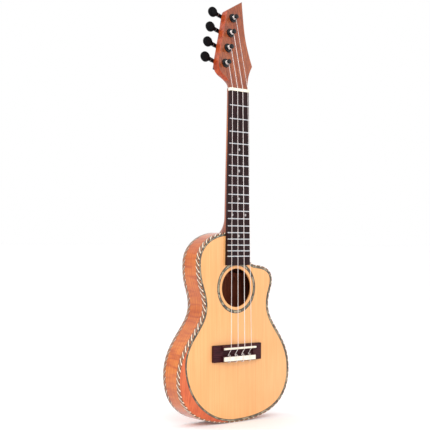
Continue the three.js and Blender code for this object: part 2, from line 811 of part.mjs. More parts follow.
function makeNeck() {
  const heelTopZ = neckJointZ + heelLength;
  const heelY = topY + bodyDepthAtNeck - heelDepthGap;
  const sections = [];
  const plainTo = heelTopZ;
  for (const z of [16, 8, 0, plainTo * 0.35, plainTo * 0.7, plainTo]) {
    const share = Math.min(Math.max(z / plainTo, 0), 1);
    const backY = neckDepthAtNut + (neckDepthAtHeel - neckDepthAtNut) * share;
    const narrow = z > 0 ? z * 0.1 : 0;
    sections.push(neckSection(z, boardHalfWidth(Math.min(z, 0)) - neckInset - narrow, backY, neckRoundness));
  }
  for (let i = 1; i <= heelSteps; i++) {
    const t = i / heelSteps;
    const z = heelTopZ + (neckJointZ + glueGap - heelTopZ) * t;
    const grow = t ** heelSweep;
    const backY = neckDepthAtHeel + (heelY - neckDepthAtHeel) * grow;
    sections.push(neckSection(z, boardHalfWidth(z) - neckInset, backY, neckRoundness));
  }
  const headstock = new THREE.ExtrudeGeometry(headstockShape(), {
    depth: headstockThickness, bevelEnabled: false, curveSegments: 10,
  }).rotateX(Math.PI / 2).translate(0, headstockThickness, 0).applyMatrix4(headstockFrame.matrixWorld);
  const nutSeat = boxBetween(
    [-60, -40, -60], [60, fretboardThickness, nutLength + glueGap]);
  const bores = stringDiameters.map((_, i) => {
    const { x, w } = postPlace(i);
    return rod(headPoint(x, -5, w), headPoint(x, headstockThickness + 5, w), bushingRadius + runningGap);
  });
  return cut(join(loft(sections, false), headstock), nutSeat, ...bores);
}

// ---- Strings ----

// A round bar along a list of points, kept square to its path at each.
function roundBar(points, radius, sides = 8) {
  const across = new THREE.Vector3(1, 0, 0);
  return loft(points.map((p, i) => {
    const from = points[Math.max(i - 1, 0)];
    const to = points[Math.min(i + 1, points.length - 1)];
    const along = to.clone().sub(from).normalize();
    const a = across.clone().addScaledVector(along, -across.dot(along)).normalize();
    const b = new THREE.Vector3().crossVectors(along, a);
    return Array.from({ length: sides }, (_, k) => {
      const angle = (2 * Math.PI * k) / sides;
      const [u, v] = [radius * Math.cos(angle), radius * Math.sin(angle)];
      return p.clone().addScaledVector(a, u).addScaledVector(b, v);
    });
  }), false);
}

// The player's first string is nearest the cutaway and runs to the post nearest the tip.
function makeString(i) {
  const radius = stringDiameters[i] / 2;
  const post = postPlace(stringCount - 1 - i);
  const nutX = stringX(i, stringSpanAtNut);
  const saddleX = stringX(i, stringSpanAtSaddle);
  const standOff = postRadius + radius + runningGap;
  const crest = -stringHeightAtSaddle;
  return roundBar([
    headPoint(post.x + standOff, -windingHeight, post.w),
    new THREE.Vector3(nutX, -stringHeightAtNut, nutLength * 0.8),
    new THREE.Vector3(nutX, -stringHeightAtNut, nutLength * 0.2),
    new THREE.Vector3(saddleX, crest, saddleZ + saddleThickness * 0.3),
    new THREE.Vector3(saddleX, crest, saddleZ - saddleThickness * 0.3),
    new THREE.Vector3(saddleX, tieHoleY, tieBlockZ + 0.6),
    new THREE.Vector3(saddleX, tieHoleY, bridgeBottomZ - stringTailPastBlock),
  ], radius);
}

// ---- Tuners, each in its own frame: y behind the face, z along the row, -x towards its button ----

const plateGap = 0.05; // under the housing and the bushing's flange
const backOfHead = headstockThickness + plateGap;
const housingDepth =
  wormBehindHead + Math.max(wormRadius, wheelThickness / 2 + wheelHub) + runningGap + housingWall;
const pocketReach = wheelRadius + wheelToothDepth + runningGap;
const housingTopZ = wormOffset + wormRadius + runningGap + housingWall;
const housingHalfX = Math.max(pocketReach, wormLength / 2 + runningGap) + housingWall;
const snoutEndX = -(housingHalfX + housingSnoutLength);
const buttonShaftEndX = -(buttonReach + 2);

function makeHousing() {
  const outer = boxBetween(
    [-housingHalfX, backOfHead, -pocketReach - housingWall],
    [housingHalfX, backOfHead + housingDepth, housingTopZ]);
  const snout = rod(
    new THREE.Vector3(-housingHalfX + 1, wormDepth, wormOffset),
    new THREE.Vector3(snoutEndX, wormDepth, wormOffset), housingSnoutRadius);
  const pocket = boxBetween(
    [-housingHalfX + housingWall, backOfHead - 1, -pocketReach],
    [housingHalfX - housingWall, backOfHead + housingDepth - housingWall, housingTopZ - housingWall]);
  const shaftBore = rod(
    new THREE.Vector3(0, wormDepth, wormOffset), new THREE.Vector3(snoutEndX - 1, wormDepth, wormOffset),
    wormCoreRadius + runningGap);
  return cut(join(outer, snout), pocket, shaftBore);
}

const makeBushing = () =>
  turned([
    [postRadius + runningGap, -bushingFlangeThickness],
    [bushingFlangeRadius - 0.5, -bushingFlangeThickness],
    [bushingFlangeRadius, -bushingFlangeThickness + 0.5],
    [bushingFlangeRadius, -plateGap],
    [bushingRadius, -plateGap],
    [bushingRadius, headstockThickness - 1],
    [postRadius + runningGap, headstockThickness - 1],
    [postRadius + runningGap, -bushingFlangeThickness],
  ]);

// The string post, waisted for the string's turns, with its worm wheel at the back.
function makePost() {
  const wheelFront = wormDepth - wheelThickness / 2;
  const body = turned([
    [0, -postProud],
    [postCapRadius - 0.6, -postProud],
    [postCapRadius, -postProud + 0.6],
    [postCapRadius, -postProud + postCapLength],
    [postRadius - 0.5, -postProud + postCapLength + 0.6],
    [postRadius - 0.5, -bushingFlangeThickness - 0.8],
    [postRadius, -bushingFlangeThickness - 0.3],
    [postRadius, headstockThickness - 0.5],
    [postRadius - 0.8, headstockThickness],
    [postRadius - 0.8, wormDepth + wheelThickness / 2 + wheelHub],
    [0, wormDepth + wheelThickness / 2 + wheelHub],
  ], 16);
  const teeth = Array.from({ length: wheelTeeth * 2 }, (_, k) => {
    const radius = wheelRadius - (k % 2 ? wheelToothDepth : 0);
    const angle = (Math.PI * k) / wheelTeeth;
    return new THREE.Vector2(radius * Math.cos(angle), radius * Math.sin(angle));
  });
  const wheel = new THREE.ExtrudeGeometry(new THREE.Shape(teeth), {
    depth: wheelThickness, bevelEnabled: false,
  }).rotateX(Math.PI / 2).translate(0, wheelFront + wheelThickness, 0);
  const holeY = -windingHeight;
  const stringHole = rod(
    new THREE.Vector3(-postRadius - 1, holeY, 0), new THREE.Vector3(postRadius + 1, holeY, 0),
    stringHoleDiameter / 2, 10);
  return cut(join(body, wheel), stringHole);
}

// The button's shaft with its worm, turned about its own axis and laid along x.
function makeWormShaft() {
  const half = wormLength / 2;
  const threads = Math.floor((wormLength - 1) / wormPitch);
  const ridges = Array.from({ length: threads }, (_, i) => {
    const start = half - wormPitch / 2 - i * wormPitch;
    return [[wormCoreRadius, start], [wormRadius, start - 0.5], [wormCoreRadius, start - 1]];
  }).flat();
  return turned([
    [0, half],
    [wormCoreRadius, half],
    ...ridges,
    [wormCoreRadius, buttonShaftEndX],
    [0, buttonShaftEndX],
  ], 12).rotateZ(-Math.PI / 2).translate(0, wormDepth, wormOffset);
}

// A round button that faces the front, with a boss towards the housing and a blind bore for the shaft.
function makeButton() {
  const half = buttonThickness / 2;
  const disc = turned([
    [0, -half],
    [buttonRadius - 2.4, -half],
    [buttonRadius - 0.7, -half + 1.1],
    [buttonRadius, -half + 2.6],
    [buttonRadius, half - 2.6],
    [buttonRadius - 0.7, half - 1.1],
    [buttonRadius - 2.4, half],
    [0, half],
  ], 22).translate(-buttonReach, wormDepth, wormOffset);
  const bossEnd = snoutEndX - runningGap;
  const boss = rod(
    new THREE.Vector3(-buttonReach, wormDepth, wormOffset), new THREE.Vector3(bossEnd, wormDepth, wormOffset),
    buttonBossRadius);
  const bore = rod(
    new THREE.Vector3(buttonShaftEndX - glueGap, wormDepth, wormOffset),
    new THREE.Vector3(bossEnd + 1, wormDepth, wormOffset), wormCoreRadius + glueGap);
  return cut(join(disc, boss), bore);
}

function makeTuner(i) {
  const number = i + 1;
  const { x, w } = postPlace(i);
  const tuner = new THREE.Group();
  tuner.position.set(x, 0, w);
  tuner.rotation.y = rowAngle;
  tuner.add(
    makeMesh(`tuner_housing_${number}`, makeHousing(), 0x17171a, 0.35, 0.6),
    makeMesh(`tuner_bushing_${number}`, makeBushing(), 0x17171a, 0.3, 0.7),
    makeMesh(`string_post_${number}`, makePost(), 0x1c1c20, 0.25, 0.8),
    makeMesh(`worm_shaft_${number}`, makeWormShaft(), 0x8d8f94, 0.3, 0.9),
    makeMesh(`tuner_button_${number}`, makeButton(), 0x0d0d10, 0.3, 0),
  );
  return tuner;
}

// ---- Assembly ----

const ukulele = new THREE.Group();
const spruce = 0xf5c283;
const figured = 0xc9762f;
const mahogany = 0xb4602f;
const rosewood = 0x33231f;
const bone = 0xf2ecdc;

ukulele.add(
  makeMesh("soundboard", makeSoundboard(), spruce, 0.35),
  makeMesh("back_plate", makeBack(), figured, 0.3),
  makeMesh("rim", makeRim(), figured, 0.3),
  makeMesh("front_rope_binding", makeFrontBinding(), 0x6b4a38, 0.4),
  makeMesh("back_rope_binding", makeBackBinding(), 0x6b4a38, 0.4),
  makeMesh("armrest", makeArmrest(), 0xe07a43, 0.3),
  makeMesh("rosette", makeRosette(), 0x5c6b60, 0.25, 0.1),
  makeMesh("neck_block", makeNeckBlock(), mahogany, 0.7),
  makeMesh("tail_block", makeTailBlock(), mahogany, 0.7),
  makeMesh("front_lining_and_braces", makeFrontLining(), 0xcf9a63, 0.8),
  makeMesh("back_lining_and_braces", makeBackLining(), 0xcf9a63, 0.8),
  makeMesh("bridge_plate", makeBridgePlate(), rosewood, 0.7),
  makeMesh("bridge", makeBridge(), rosewood, 0.5),
  makeMesh("saddle", makeSaddle(), bone, 0.4),
  makeMesh("tie_block_cap", makeTieCap(), bone, 0.4),
  makeMesh("neck", makeNeck(), mahogany, 0.4),
  makeMesh("fretboard", makeFretboard(), rosewood, 0.5),
  makeMesh("nut", makeNut(), bone, 0.4),
);
for (let n = 1; n <= fretCount; n++)
  ukulele.add(makeMesh(`fret_${n}`, makeFret(n), 0xc9ccd0, 0.25, 0.95));
for (let i = 0; i < stringCount; i++)
  ukulele.add(makeMesh(`string_${i + 1}`, makeString(i), 0xf0efe9, 0.3));
for (let i = 0; i < stringCount; i++) headstockFrame.add(makeTuner(i));
ukulele.add(headstockFrame);

export default ukulele;
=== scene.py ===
import bisect
import math

import bmesh
import bpy
from mathutils import Matrix, Vector
from mathutils.geometry import interpolate_bezier


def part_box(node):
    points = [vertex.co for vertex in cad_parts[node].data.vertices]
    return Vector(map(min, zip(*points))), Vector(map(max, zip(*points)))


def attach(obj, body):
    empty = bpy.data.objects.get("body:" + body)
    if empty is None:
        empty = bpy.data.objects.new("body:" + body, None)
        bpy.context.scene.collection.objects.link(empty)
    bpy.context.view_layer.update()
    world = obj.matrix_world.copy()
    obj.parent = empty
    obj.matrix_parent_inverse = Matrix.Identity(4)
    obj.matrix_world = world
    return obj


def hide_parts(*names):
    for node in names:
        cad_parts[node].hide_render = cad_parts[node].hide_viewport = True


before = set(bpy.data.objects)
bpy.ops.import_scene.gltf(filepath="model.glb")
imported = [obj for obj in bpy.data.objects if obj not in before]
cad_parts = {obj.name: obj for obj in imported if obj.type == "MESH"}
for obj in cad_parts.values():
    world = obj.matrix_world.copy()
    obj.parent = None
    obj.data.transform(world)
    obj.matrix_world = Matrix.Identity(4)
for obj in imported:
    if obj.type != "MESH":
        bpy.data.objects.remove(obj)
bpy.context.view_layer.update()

mm = 0.001
print("frame loaded")


# Sizes below are in millimetres, in the frame's own axes: x to the right seen from the
# front, y backwards, z up the neck, with the nut's front edge at the origin.
def nodeBox(name):
    low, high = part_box(name)
    return low / mm, high / mm


rimLow, rimHigh = nodeBox("rim")
boardLow, boardHigh = nodeBox("fretboard")
topY = boardHigh.y  # the soundboard's front
tailZ, neckJointZ = rimLow.z, rimHigh.z
boardEndZ = boardLow.z
nutHalf = nodeBox("nut")[1].x
boardEndHalf = boardHigh.x
seam = 0.05  # left open between pieces that lie side by side


def tint(code):
    parts = [int(code[i:i + 2], 16) / 255 for i in (1, 3, 5)]
    linear = [c / 12.92 if c <= 0.04045 else ((c + 0.055) / 1.055) ** 2.4 for c in parts]
    return (*linear, 1.0)


# Mesh making

def addObject(name, data):
    made = bpy.data.objects.new(name, data)
    bpy.context.scene.collection.objects.link(made)
    return made


def makePiece(name, shape, materials, sharp=35, faceSlots=None, uvs=None):
    points, faces = shape
    mesh = bpy.data.meshes.new(name)
    mesh.from_pydata([tuple(c * mm for c in p) for p in points], [], faces)
    for material in materials:
        mesh.materials.append(material)
    if faceSlots:
        mesh.polygons.foreach_set("material_index", faceSlots)
    if uvs:
        layer = mesh.uv_layers.new(name="alongGrain")
        for loop in mesh.loops:
            layer.data[loop.index].uv = uvs[loop.vertex_index]
    piece = addObject(name, mesh)
    faceOut(piece, sharp)
    return piece


def shade(piece, sharp):
    piece.data.shade_smooth()
    piece.data.set_sharp_from_angle(angle=math.radians(sharp))


def faceOut(piece, sharp, weld=False):
    work = bmesh.new()
    work.from_mesh(piece.data)
    if weld:
        bmesh.ops.remove_doubles(work, verts=work.verts, dist=0.00001)
    bmesh.ops.recalc_face_normals(work, faces=work.faces)
    work.to_mesh(piece.data)
    work.free()
    shade(piece, sharp)


def fasten(piece, body, slotName, *nodes):
    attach(piece, body)
    if nodes:
        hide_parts(*nodes)
    return piece


def bakedMesh(thing):
    bpy.context.view_layer.update()
    graph = bpy.context.evaluated_depsgraph_get()
    return bpy.data.meshes.new_from_object(thing.evaluated_get(graph))


def cutAway(piece, tool):
    modifier = piece.modifiers.new("cut", "BOOLEAN")
    modifier.operation = "DIFFERENCE"
    modifier.solver = "EXACT"
    modifier.object = tool
    baked = bakedMesh(piece)
    piece.modifiers.clear()
    piece.data = baked
    bpy.data.objects.remove(tool)


# Quads between successive sections of equal length, with both ends capped unless the run closes.
def loft(sections, closedRun=False):
    count, length = len(sections), len(sections[0])
    faces = []
    for i in range(count if closedRun else count - 1):
        here, after = i * length, (i + 1) % count * length
        for j in range(length):
            k = (j + 1) % length
            faces.append((here + j, after + j, after + k, here + k))
    if not closedRun:
        last = (count - 1) * length
        faces += [tuple(range(length)), tuple(last + j for j in reversed(range(length)))]
    return [p for section in sections for p in section], faces


def around(radius, k, count):
    angle = 2 * math.pi * k / count
    return radius * math.cos(angle), radius * math.sin(angle)


# A round part about a local y axis, from (radius, along) pairs that start and end on the axis.
def turned(profile, place, segments=40):
    points, faces = [place @ Vector((0, profile[0][1], 0))], []
    for radius, along in profile[1:-1]:
        for k in range(segments):
            a, b = around(radius, k, segments)
            points.append(place @ Vector((a, along, b)))
    points.append(place @ Vector((0, profile[-1][1], 0)))
    rings = len(profile) - 2
    for k in range(segments):
        after = (k + 1) % segments
        faces.append((0, 1 + k, 1 + after))
        for ring in range(rings - 1):
            here, there = 1 + ring * segments, 1 + (ring + 1) * segments
            faces.append((here + k, there + k, there + after, here + after))
        last = 1 + (rings - 1) * segments
        faces.append((last + k, len(points) - 1, last + after))
    return points, faces


# A ring about a local y axis from a closed profile of (radius, along) pairs.
def turnedRing(profile, place, segments=72):
    sections = []
    for k in range(segments):
        turns = [(around(radius, k, segments), along) for radius, along in profile]
        sections.append([place @ Vector((a, along, b)) for (a, b), along in turns])
    return loft(sections, True)


# A round cutter along a local y axis.
def roundTool(radius, start, end, place, segments):
    profile = [(0, start), (radius, start), (radius, end), (0, end)]
    return makePiece("roundTool", turned(profile, place, segments), [])


def pull(start, end, share):
    return start + (end - start) * share


def smooth(share):
    share = min(max(share, 0), 1)
    return share * share * (3 - 2 * share)


# Materials

def addNode(material, kind, settings, inputs):
    made = material.node_tree.nodes.new("ShaderNode" + kind)
    for name, value in settings.items():
        setattr(made, name, value)
    for name, value in inputs.items():
        if isinstance(value, bpy.types.NodeSocket):
            material.node_tree.links.new(value, made.inputs[name])
        else:
            made.inputs[name].default_value = value
    return made


def newMaterial(name, sockets):
    material = bpy.data.materials.new(name)
    material.use_nodes = True
    shader = material.node_tree.nodes["Principled BSDF"]
    for socket, value in sockets.items():
        shader.inputs[socket].default_value = value
    return material, shader


def join(material, output, target):
    material.node_tree.links.new(output, target)


def ramp(material, factor, stops):
    made = addNode(material, "ValToRGB", {}, {"Fac": factor})
    band = made.color_ramp
    while len(band.elements) < len(stops):
        band.elements.new(0.5)
    for element, (position, color) in zip(band.elements, stops):
        element.position = position
        element.color = tint(color)
    return made.outputs["Color"]


def blendColors(material, factor, first, second, mode="MIX"):
    made = addNode(material, "Mix", {"data_type": "RGBA", "blend_type": mode}, {})
    for index, value in ((0, factor), (6, first), (7, second)):
        if isinstance(value, bpy.types.NodeSocket):
            join(material, value, made.inputs[index])
        else:
            made.inputs[index].default_value = value
    return made.outputs[2]


def span(material, value, low, high):
    made = addNode(material, "MapRange", {}, {"Value": value, "To Min": low, "To Max": high})
    return made.outputs["Result"]


def bump(material, shader, height, strength, distance):
    made = addNode(
        material, "Bump", {}, {"Strength": strength, "Distance": distance, "Height": height})
    join(material, made.outputs["Normal"], shader.inputs["Normal"])


def objectSpace(material):
    return addNode(material, "TexCoord", {}, {}).outputs["Object"]


def coat(weight, roughness, specular=0.5):
    return {"Coat Weight": weight, "Coat Roughness": roughness, "Specular IOR Level": specular}


def stretched(material, source, scale):
    return addNode(material, "Mapping", {}, {"Vector": source, "Scale": scale}).outputs["Vector"]


def noise(material, source, scale, detail, roughness=0.5, distortion=0.0):
    return addNode(material, "TexNoise", {}, {
        "Vector": source, "Scale": scale, "Detail": detail, "Roughness": roughness,
        "Distortion": distortion}).outputs["Fac"]


# Colour, a gloss that varies with a pattern, and a slight relief.
def dress(material, shader, color, gloss, relief, recipe, depth):
    join(material, color, shader.inputs["Base Color"])
    low, high = recipe["roughness"]
    join(material, span(material, gloss, low, high), shader.inputs["Roughness"])
    bump(material, shader, relief, recipe["bump"], depth)


# Wood: growth lines and fibres drawn out along the grain, broad colour drift, optional flame.
def makeWood(name, recipe):
    material, shader = newMaterial(name, recipe["sockets"])
    if recipe.get("alongEdge"):
        source = addNode(material, "UVMap", {"uv_map": "alongGrain"}, {}).outputs["UV"]
    else:
        source = objectSpace(material)
    fibres = noise(material, stretched(material, source, recipe["stretch"]), 1.0, 7.0, 0.62)
    drift = noise(material, source, recipe["driftScale"], 3.0)
    lines = addNode(material, "TexWave", {"bands_direction": recipe["linesAcross"]}, {
        "Vector": source, "Scale": recipe["lineScale"], "Distortion": recipe["lineWander"],
        "Detail": 2.0, "Detail Scale": recipe["wanderScale"]})
    color = ramp(material, fibres, recipe["fibreColors"])
    lineTone = ramp(
        material, lines.outputs["Fac"], [(0.0, recipe["lineTone"]), (recipe["linePale"], "#FFFFFF")])
    color = blendColors(material, recipe["lineShare"], color, lineTone, "MULTIPLY")
    driftTone = ramp(material, drift, [(0.3, recipe["driftTone"]), (0.7, "#FFFFFF")])
    color = blendColors(material, 1.0, color, driftTone, "MULTIPLY")
    if "flame" in recipe:
        flame = recipe["flame"]
        bend = stretched(material, source, flame["stretch"])
        tone = ramp(material, noise(material, bend, flame["scale"], 3.0, 0.55, 0.8), flame["tones"])
        color = blendColors(material, flame["share"], color, tone, "MULTIPLY")
    dress(material, shader, color, fibres, fibres, recipe, 0.0004)
    return material


plainWood = {"linesAcross": "X", "lineWander": 5.0, "wanderScale": 0.6, "linePale": 0.5}
spruceRecipe = {
    "sockets": coat(0.35, 0.12),
    "stretch": (420, 420, 9), "driftScale": 9.0,
    **plainWood, "lineScale": 215.0, "lineWander": 1.6, "wanderScale": 0.25,
    "fibreColors": [(0.3, "#F0AE6C"), (0.55, "#F8BA7A"), (0.75, "#FCC588")],
    "lineTone": "#F2D2AC", "linePale": 0.4, "lineShare": 0.42,
    "driftTone": "#F4ECDF",
    "roughness": (0.32, 0.46), "bump": 0.12,
}
figuredRecipe = {
    "sockets": coat(0.7, 0.06, 0.3),
    "alongEdge": True,
    "stretch": (14, 420, 1), "driftScale": 9.0,
    **plainWood, "linesAcross": "Y", "lineScale": 75.0, "wanderScale": 0.4,
    "fibreColors": [(0.3, "#C96A12"), (0.55, "#E08020"), (0.75, "#F09A38")],
    "lineTone": "#DDA271", "lineShare": 0.35,
    "driftTone": "#DCC3A9",
    "flame": {
        "stretch": (120, 18, 1), "scale": 1.0, "share": 0.75,
        "tones": [(0.35, "#D39A6A"), (0.5, "#F6DFC4"), (0.62, "#FFFFFF")]},
    "roughness": (0.28, 0.42), "bump": 0.06,
}
backRecipe = {
    **figuredRecipe, "alongEdge": False, "stretch": (420, 420, 12), "linesAcross": "X",
    "flame": {**figuredRecipe["flame"], "stretch": (18, 18, 120)},
}
armrestRecipe = {
    "sockets": coat(0.5, 0.08),
    "stretch": (300, 300, 14), "driftScale": 14.0,
    **plainWood, "lineScale": 90.0, "lineWander": 4.0, "wanderScale": 0.5,
    "fibreColors": [(0.3, "#C24E1C"), (0.55, "#DA672C"), (0.75, "#E77C40")],
    "lineTone": "#D9A078", "lineShare": 0.3,
    "driftTone": "#E8C9B4",
    "roughness": (0.28, 0.4), "bump": 0.06,
}
neckRecipe = {
    "sockets": coat(0.4, 0.12),
    "stretch": (520, 520, 16), "driftScale": 16.0,
    **plainWood, "lineScale": 60.0,
    "fibreColors": [(0.3, "#64280A"), (0.5, "#A5521E"), (0.75, "#C87430")],
    "lineTone": "#C99A78", "lineShare": 0.45,
    "driftTone": "#D9B9A2",
    "roughness": (0.3, 0.5), "bump": 0.12,
}
# Painted shade: a redder, more saturated copy of the neck's mahogany for the headstock's side faces,
# standing in for how the light falls on them.
sideShadeRecipe = {
    **neckRecipe, "sockets": coat(0.15, 0.15, 0.3),
    "fibreColors": [(0.3, "#9C380C"), (0.52, "#C8561E"), (0.75, "#DE7234")],
}
rosewoodRecipe = {
    "sockets": {"Coat Weight": 0.0, "Specular IOR Level": 0.14},
    "stretch": (700, 700, 26), "driftScale": 30.0,
    **plainWood, "lineScale": 110.0,
    "fibreColors": [(0.3, "#1A0D10"), (0.55, "#321B1E"), (0.78, "#4C2D2C")],
    "lineTone": "#8A7468", "lineShare": 0.5,
    "driftTone": "#CDBBB2",
    "roughness": (0.38, 0.6), "bump": 0.2,
}
bridgeRecipe = {
    **rosewoodRecipe, "stretch": (26, 700, 700), "linesAcross": "Z",
    "fibreColors": [(0.3, "#2C1016"), (0.55, "#4A2029"), (0.78, "#66343C")],
}
# Raw wood inside the body, its colours darkened as painted shade for the dim inside seen through the sound
# hole.
shadedInnerRecipe = {
    "sockets": {"Specular IOR Level": 0.3},
    "stretch": (260, 260, 18), "driftScale": 18.0,
    **plainWood, "lineScale": 80.0, "lineWander": 4.0, "wanderScale": 0.5,
    "fibreColors": [(0.3, "#5E2A18"), (0.55, "#7C4028"), (0.75, "#945436")],
    "lineTone": "#CFA88C", "lineShare": 0.4,
    "driftTone": "#E0C9B8",
    "roughness": (0.6, 0.8), "bump": 0.2,
}

spruceTop = makeWood("spruceTop", spruceRecipe)
figuredSide = makeWood("figuredSide", figuredRecipe)
figuredBack = makeWood("figuredBack", backRecipe)
armrestWood = makeWood("armrestWood", armrestRecipe)
neckMahogany = makeWood("neckMahogany", neckRecipe)
sideShadeMahogany = makeWood("sideShadeMahogany", sideShadeRecipe)
boardRosewood = makeWood("boardRosewood", rosewoodRecipe)
bridgeRosewood = makeWood("bridgeRosewood", bridgeRecipe)
shadedInnerWood = makeWood("shadedInnerWood", shadedInnerRecipe)


# One plain substance with fine mottling in colour, gloss and surface.
def makeMottled(name, recipe):
    material, shader = newMaterial(name, recipe["sockets"])
    source = objectSpace(material)
    grain = noise(material, stretched(material, source, recipe["stretch"]), 1.0, 5.0, 0.6)
    first, last = 0.3, recipe.get("lastStop", 0.7)
    count = len(recipe["colors"]) - 1
    stops = [(pull(first, last, k / count), code) for k, code in enumerate(recipe["colors"])]
    dress(material, shader, ramp(material, grain, stops), grain, grain, recipe, 0.0003)
    return material


slipCoat = coat(0.5, 0.1)
darkSlip = makeMottled("darkSlip", {
    "sockets": slipCoat, "stretch": [180] * 3,
    "colors": ["#2E160C", "#43210F", "#643618"],
    "roughness": (0.3, 0.45), "bump": 0.05})
lightSlip = makeMottled("lightSlip", {
    "sockets": slipCoat, "stretch": [240] * 3,
    "colors": ["#F2D3AE", "#FBE2C4", "#FFEFDC"],
    "roughness": (0.3, 0.42), "bump": 0.05})
amberSlip = makeMottled("amberSlip", {
    "sockets": slipCoat, "stretch": [200] * 3,
    "colors": ["#8E4A20", "#B06A36", "#C98448"],
    "roughness": (0.3, 0.45), "bump": 0.05})
darkLine = makeMottled("darkLine", {
    "sockets": coat(0.4, 0.12), "stretch": [500] * 3,
    "colors": ["#2A1810", "#452A1B"],
    "roughness": (0.35, 0.5), "bump": 0.04})
boneWhite = makeMottled("boneWhite", {
    "sockets": {"Subsurface Weight": 0.15, "Subsurface Radius": (0.001, 0.0008, 0.0006)},
    "stretch": [300] * 3,
    "colors": ["#EDE3CD", "#FAF4E6"], "lastStop": 0.6,
    "roughness": (0.28, 0.42), "bump": 0.05})
pearlDot = makeMottled("pearlDot", {
    "sockets": coat(0.6, 0.05), "stretch": [900] * 3,
    "colors": ["#77797A", "#9C9A98", "#B8B0B2"],
    "roughness": (0.15, 0.3), "bump": 0.05})
fretWire = makeMottled("fretWire", {
    "sockets": {"Metallic": 1.0}, "stretch": (300, 2500, 2500),
    "colors": ["#B9BCC0", "#DADCDE"],
    "roughness": (0.2, 0.34), "bump": 0.06})
blackMetal = makeMottled("blackMetal", {
    "sockets": coat(0.12, 0.05, 0.25),
    "stretch": [900] * 3,
    "colors": ["#08080B", "#121318"],
    "roughness": (0.16, 0.28), "bump": 0.05})
shaftSteel = makeMottled("shaftSteel", {
    "sockets": {"Metallic": 1.0}, "stretch": (2200, 700, 700),
    "colors": ["#7D7F84", "#A6A8AD"],
    "roughness": (0.22, 0.4), "bump": 0.08})
buttonPlastic = makeMottled("buttonPlastic", {
    "sockets": coat(0.02, 0.1, 0.06),
    "stretch": [600] * 3, "colors": ["#050506", "#0D0C10"],
    "roughness": (0.3, 0.42), "bump": 0.04})
stringPolymer = makeMottled("stringPolymer", {
    "sockets": {"Subsurface Weight": 0.2, "Subsurface Radius": (0.0006, 0.0005, 0.0005),
                "Coat Weight": 0.3, "Coat Roughness": 0.1},
    "stretch": (900, 900, 60),
    "colors": ["#EBDDD8", "#FFF6F2"],
    "roughness": (0.22, 0.35), "bump": 0.03})


# Sea shell in irregular plates that shift between grey green, cream and brown.
def makeShell(name, recipe):
    material, shader = newMaterial(name, {
        "Coat Weight": 0.7, "Coat Roughness": 0.05, "Metallic": 0.25})
    source = objectSpace(material)
    swirl = noise(material, source, recipe["swirlScale"], 4.0, distortion=1.5)
    plates = addNode(material, "TexVoronoi", {}, {
        "Vector": source, "Scale": recipe["plateScale"], "Randomness": 1.0})
    color = ramp(material, swirl, recipe["colors"])
    plateTone = ramp(material, plates.outputs["Color"], recipe["plateTones"])
    color = blendColors(material, recipe["plateShare"], color, plateTone, "MULTIPLY")
    dress(material, shader, color, swirl, plates.outputs["Distance"], recipe, 0.0003)
    return material


shellInlay = makeShell("shellInlay", {
    "swirlScale": 300.0, "plateScale": 190.0, "plateShare": 0.85, "roughness": (0.18, 0.36), "bump": 0.08,
    "colors": [
        (0.3, "#3E5246"), (0.42, "#7F8468"), (0.52, "#B9A988"), (0.6, "#8A7A62"), (0.72, "#6E5A58")],
    "plateTones": [(0.2, "#1E201C"), (0.5, "#8E8C7C"), (0.68, "#FFFFFF")]})
print("materials made")


# Body outline

bodyShape = {
    "waistLeft": 61.2, "waistRight": 65.2, "upperBoutLeft": 74.2, "hornReach": 73.0,
    "cutawayWallX": 24.5, "cutawayDepth": 47.5, "shoulderX": -18.0,
    "hornFromNeckJoint": 72.0, "upperBoutFromNeckJoint": 44.0, "waistFromUpperBout": 65.0,
    "lowerBoutFromWaist": 100.0, "piecesPerCurve": 30,
    "deepest": 41.0, "depthAtNeck": 33.5, "deepestFromTail": 118.0,
    "topThickness": 2.2, "backThickness": 2.2, "sideThickness": 3.0,
}
# How far each curve's handles reach towards the next station, and the scoop's steps from the wall.
handles = {
    "tailAcross": 0.48, "boutDown": 0.83, "boutUp": 0.51, "waistDown": 0.31, "waistUp": 0.35,
    "shoulderDown": 0.54, "shoulderUp": 0.66, "shoulderAcross": 0.46, "wallShare": 0.62,
    "wallDown": 0.75, "hornUp": 0.22, "hornDown": 0.34, "hornWaist": 0.52,
}
scoop = {"bottom": 5.5, "turnX": 14, "turnZ": 0.8, "runX": 29, "runZ": 2}


# Curves laid end to end, each starting where the last one stops.
def chain(start, runs):
    curves = []
    for run in runs:
        curves.append((start, *run))
        start = run[-1]
    return curves


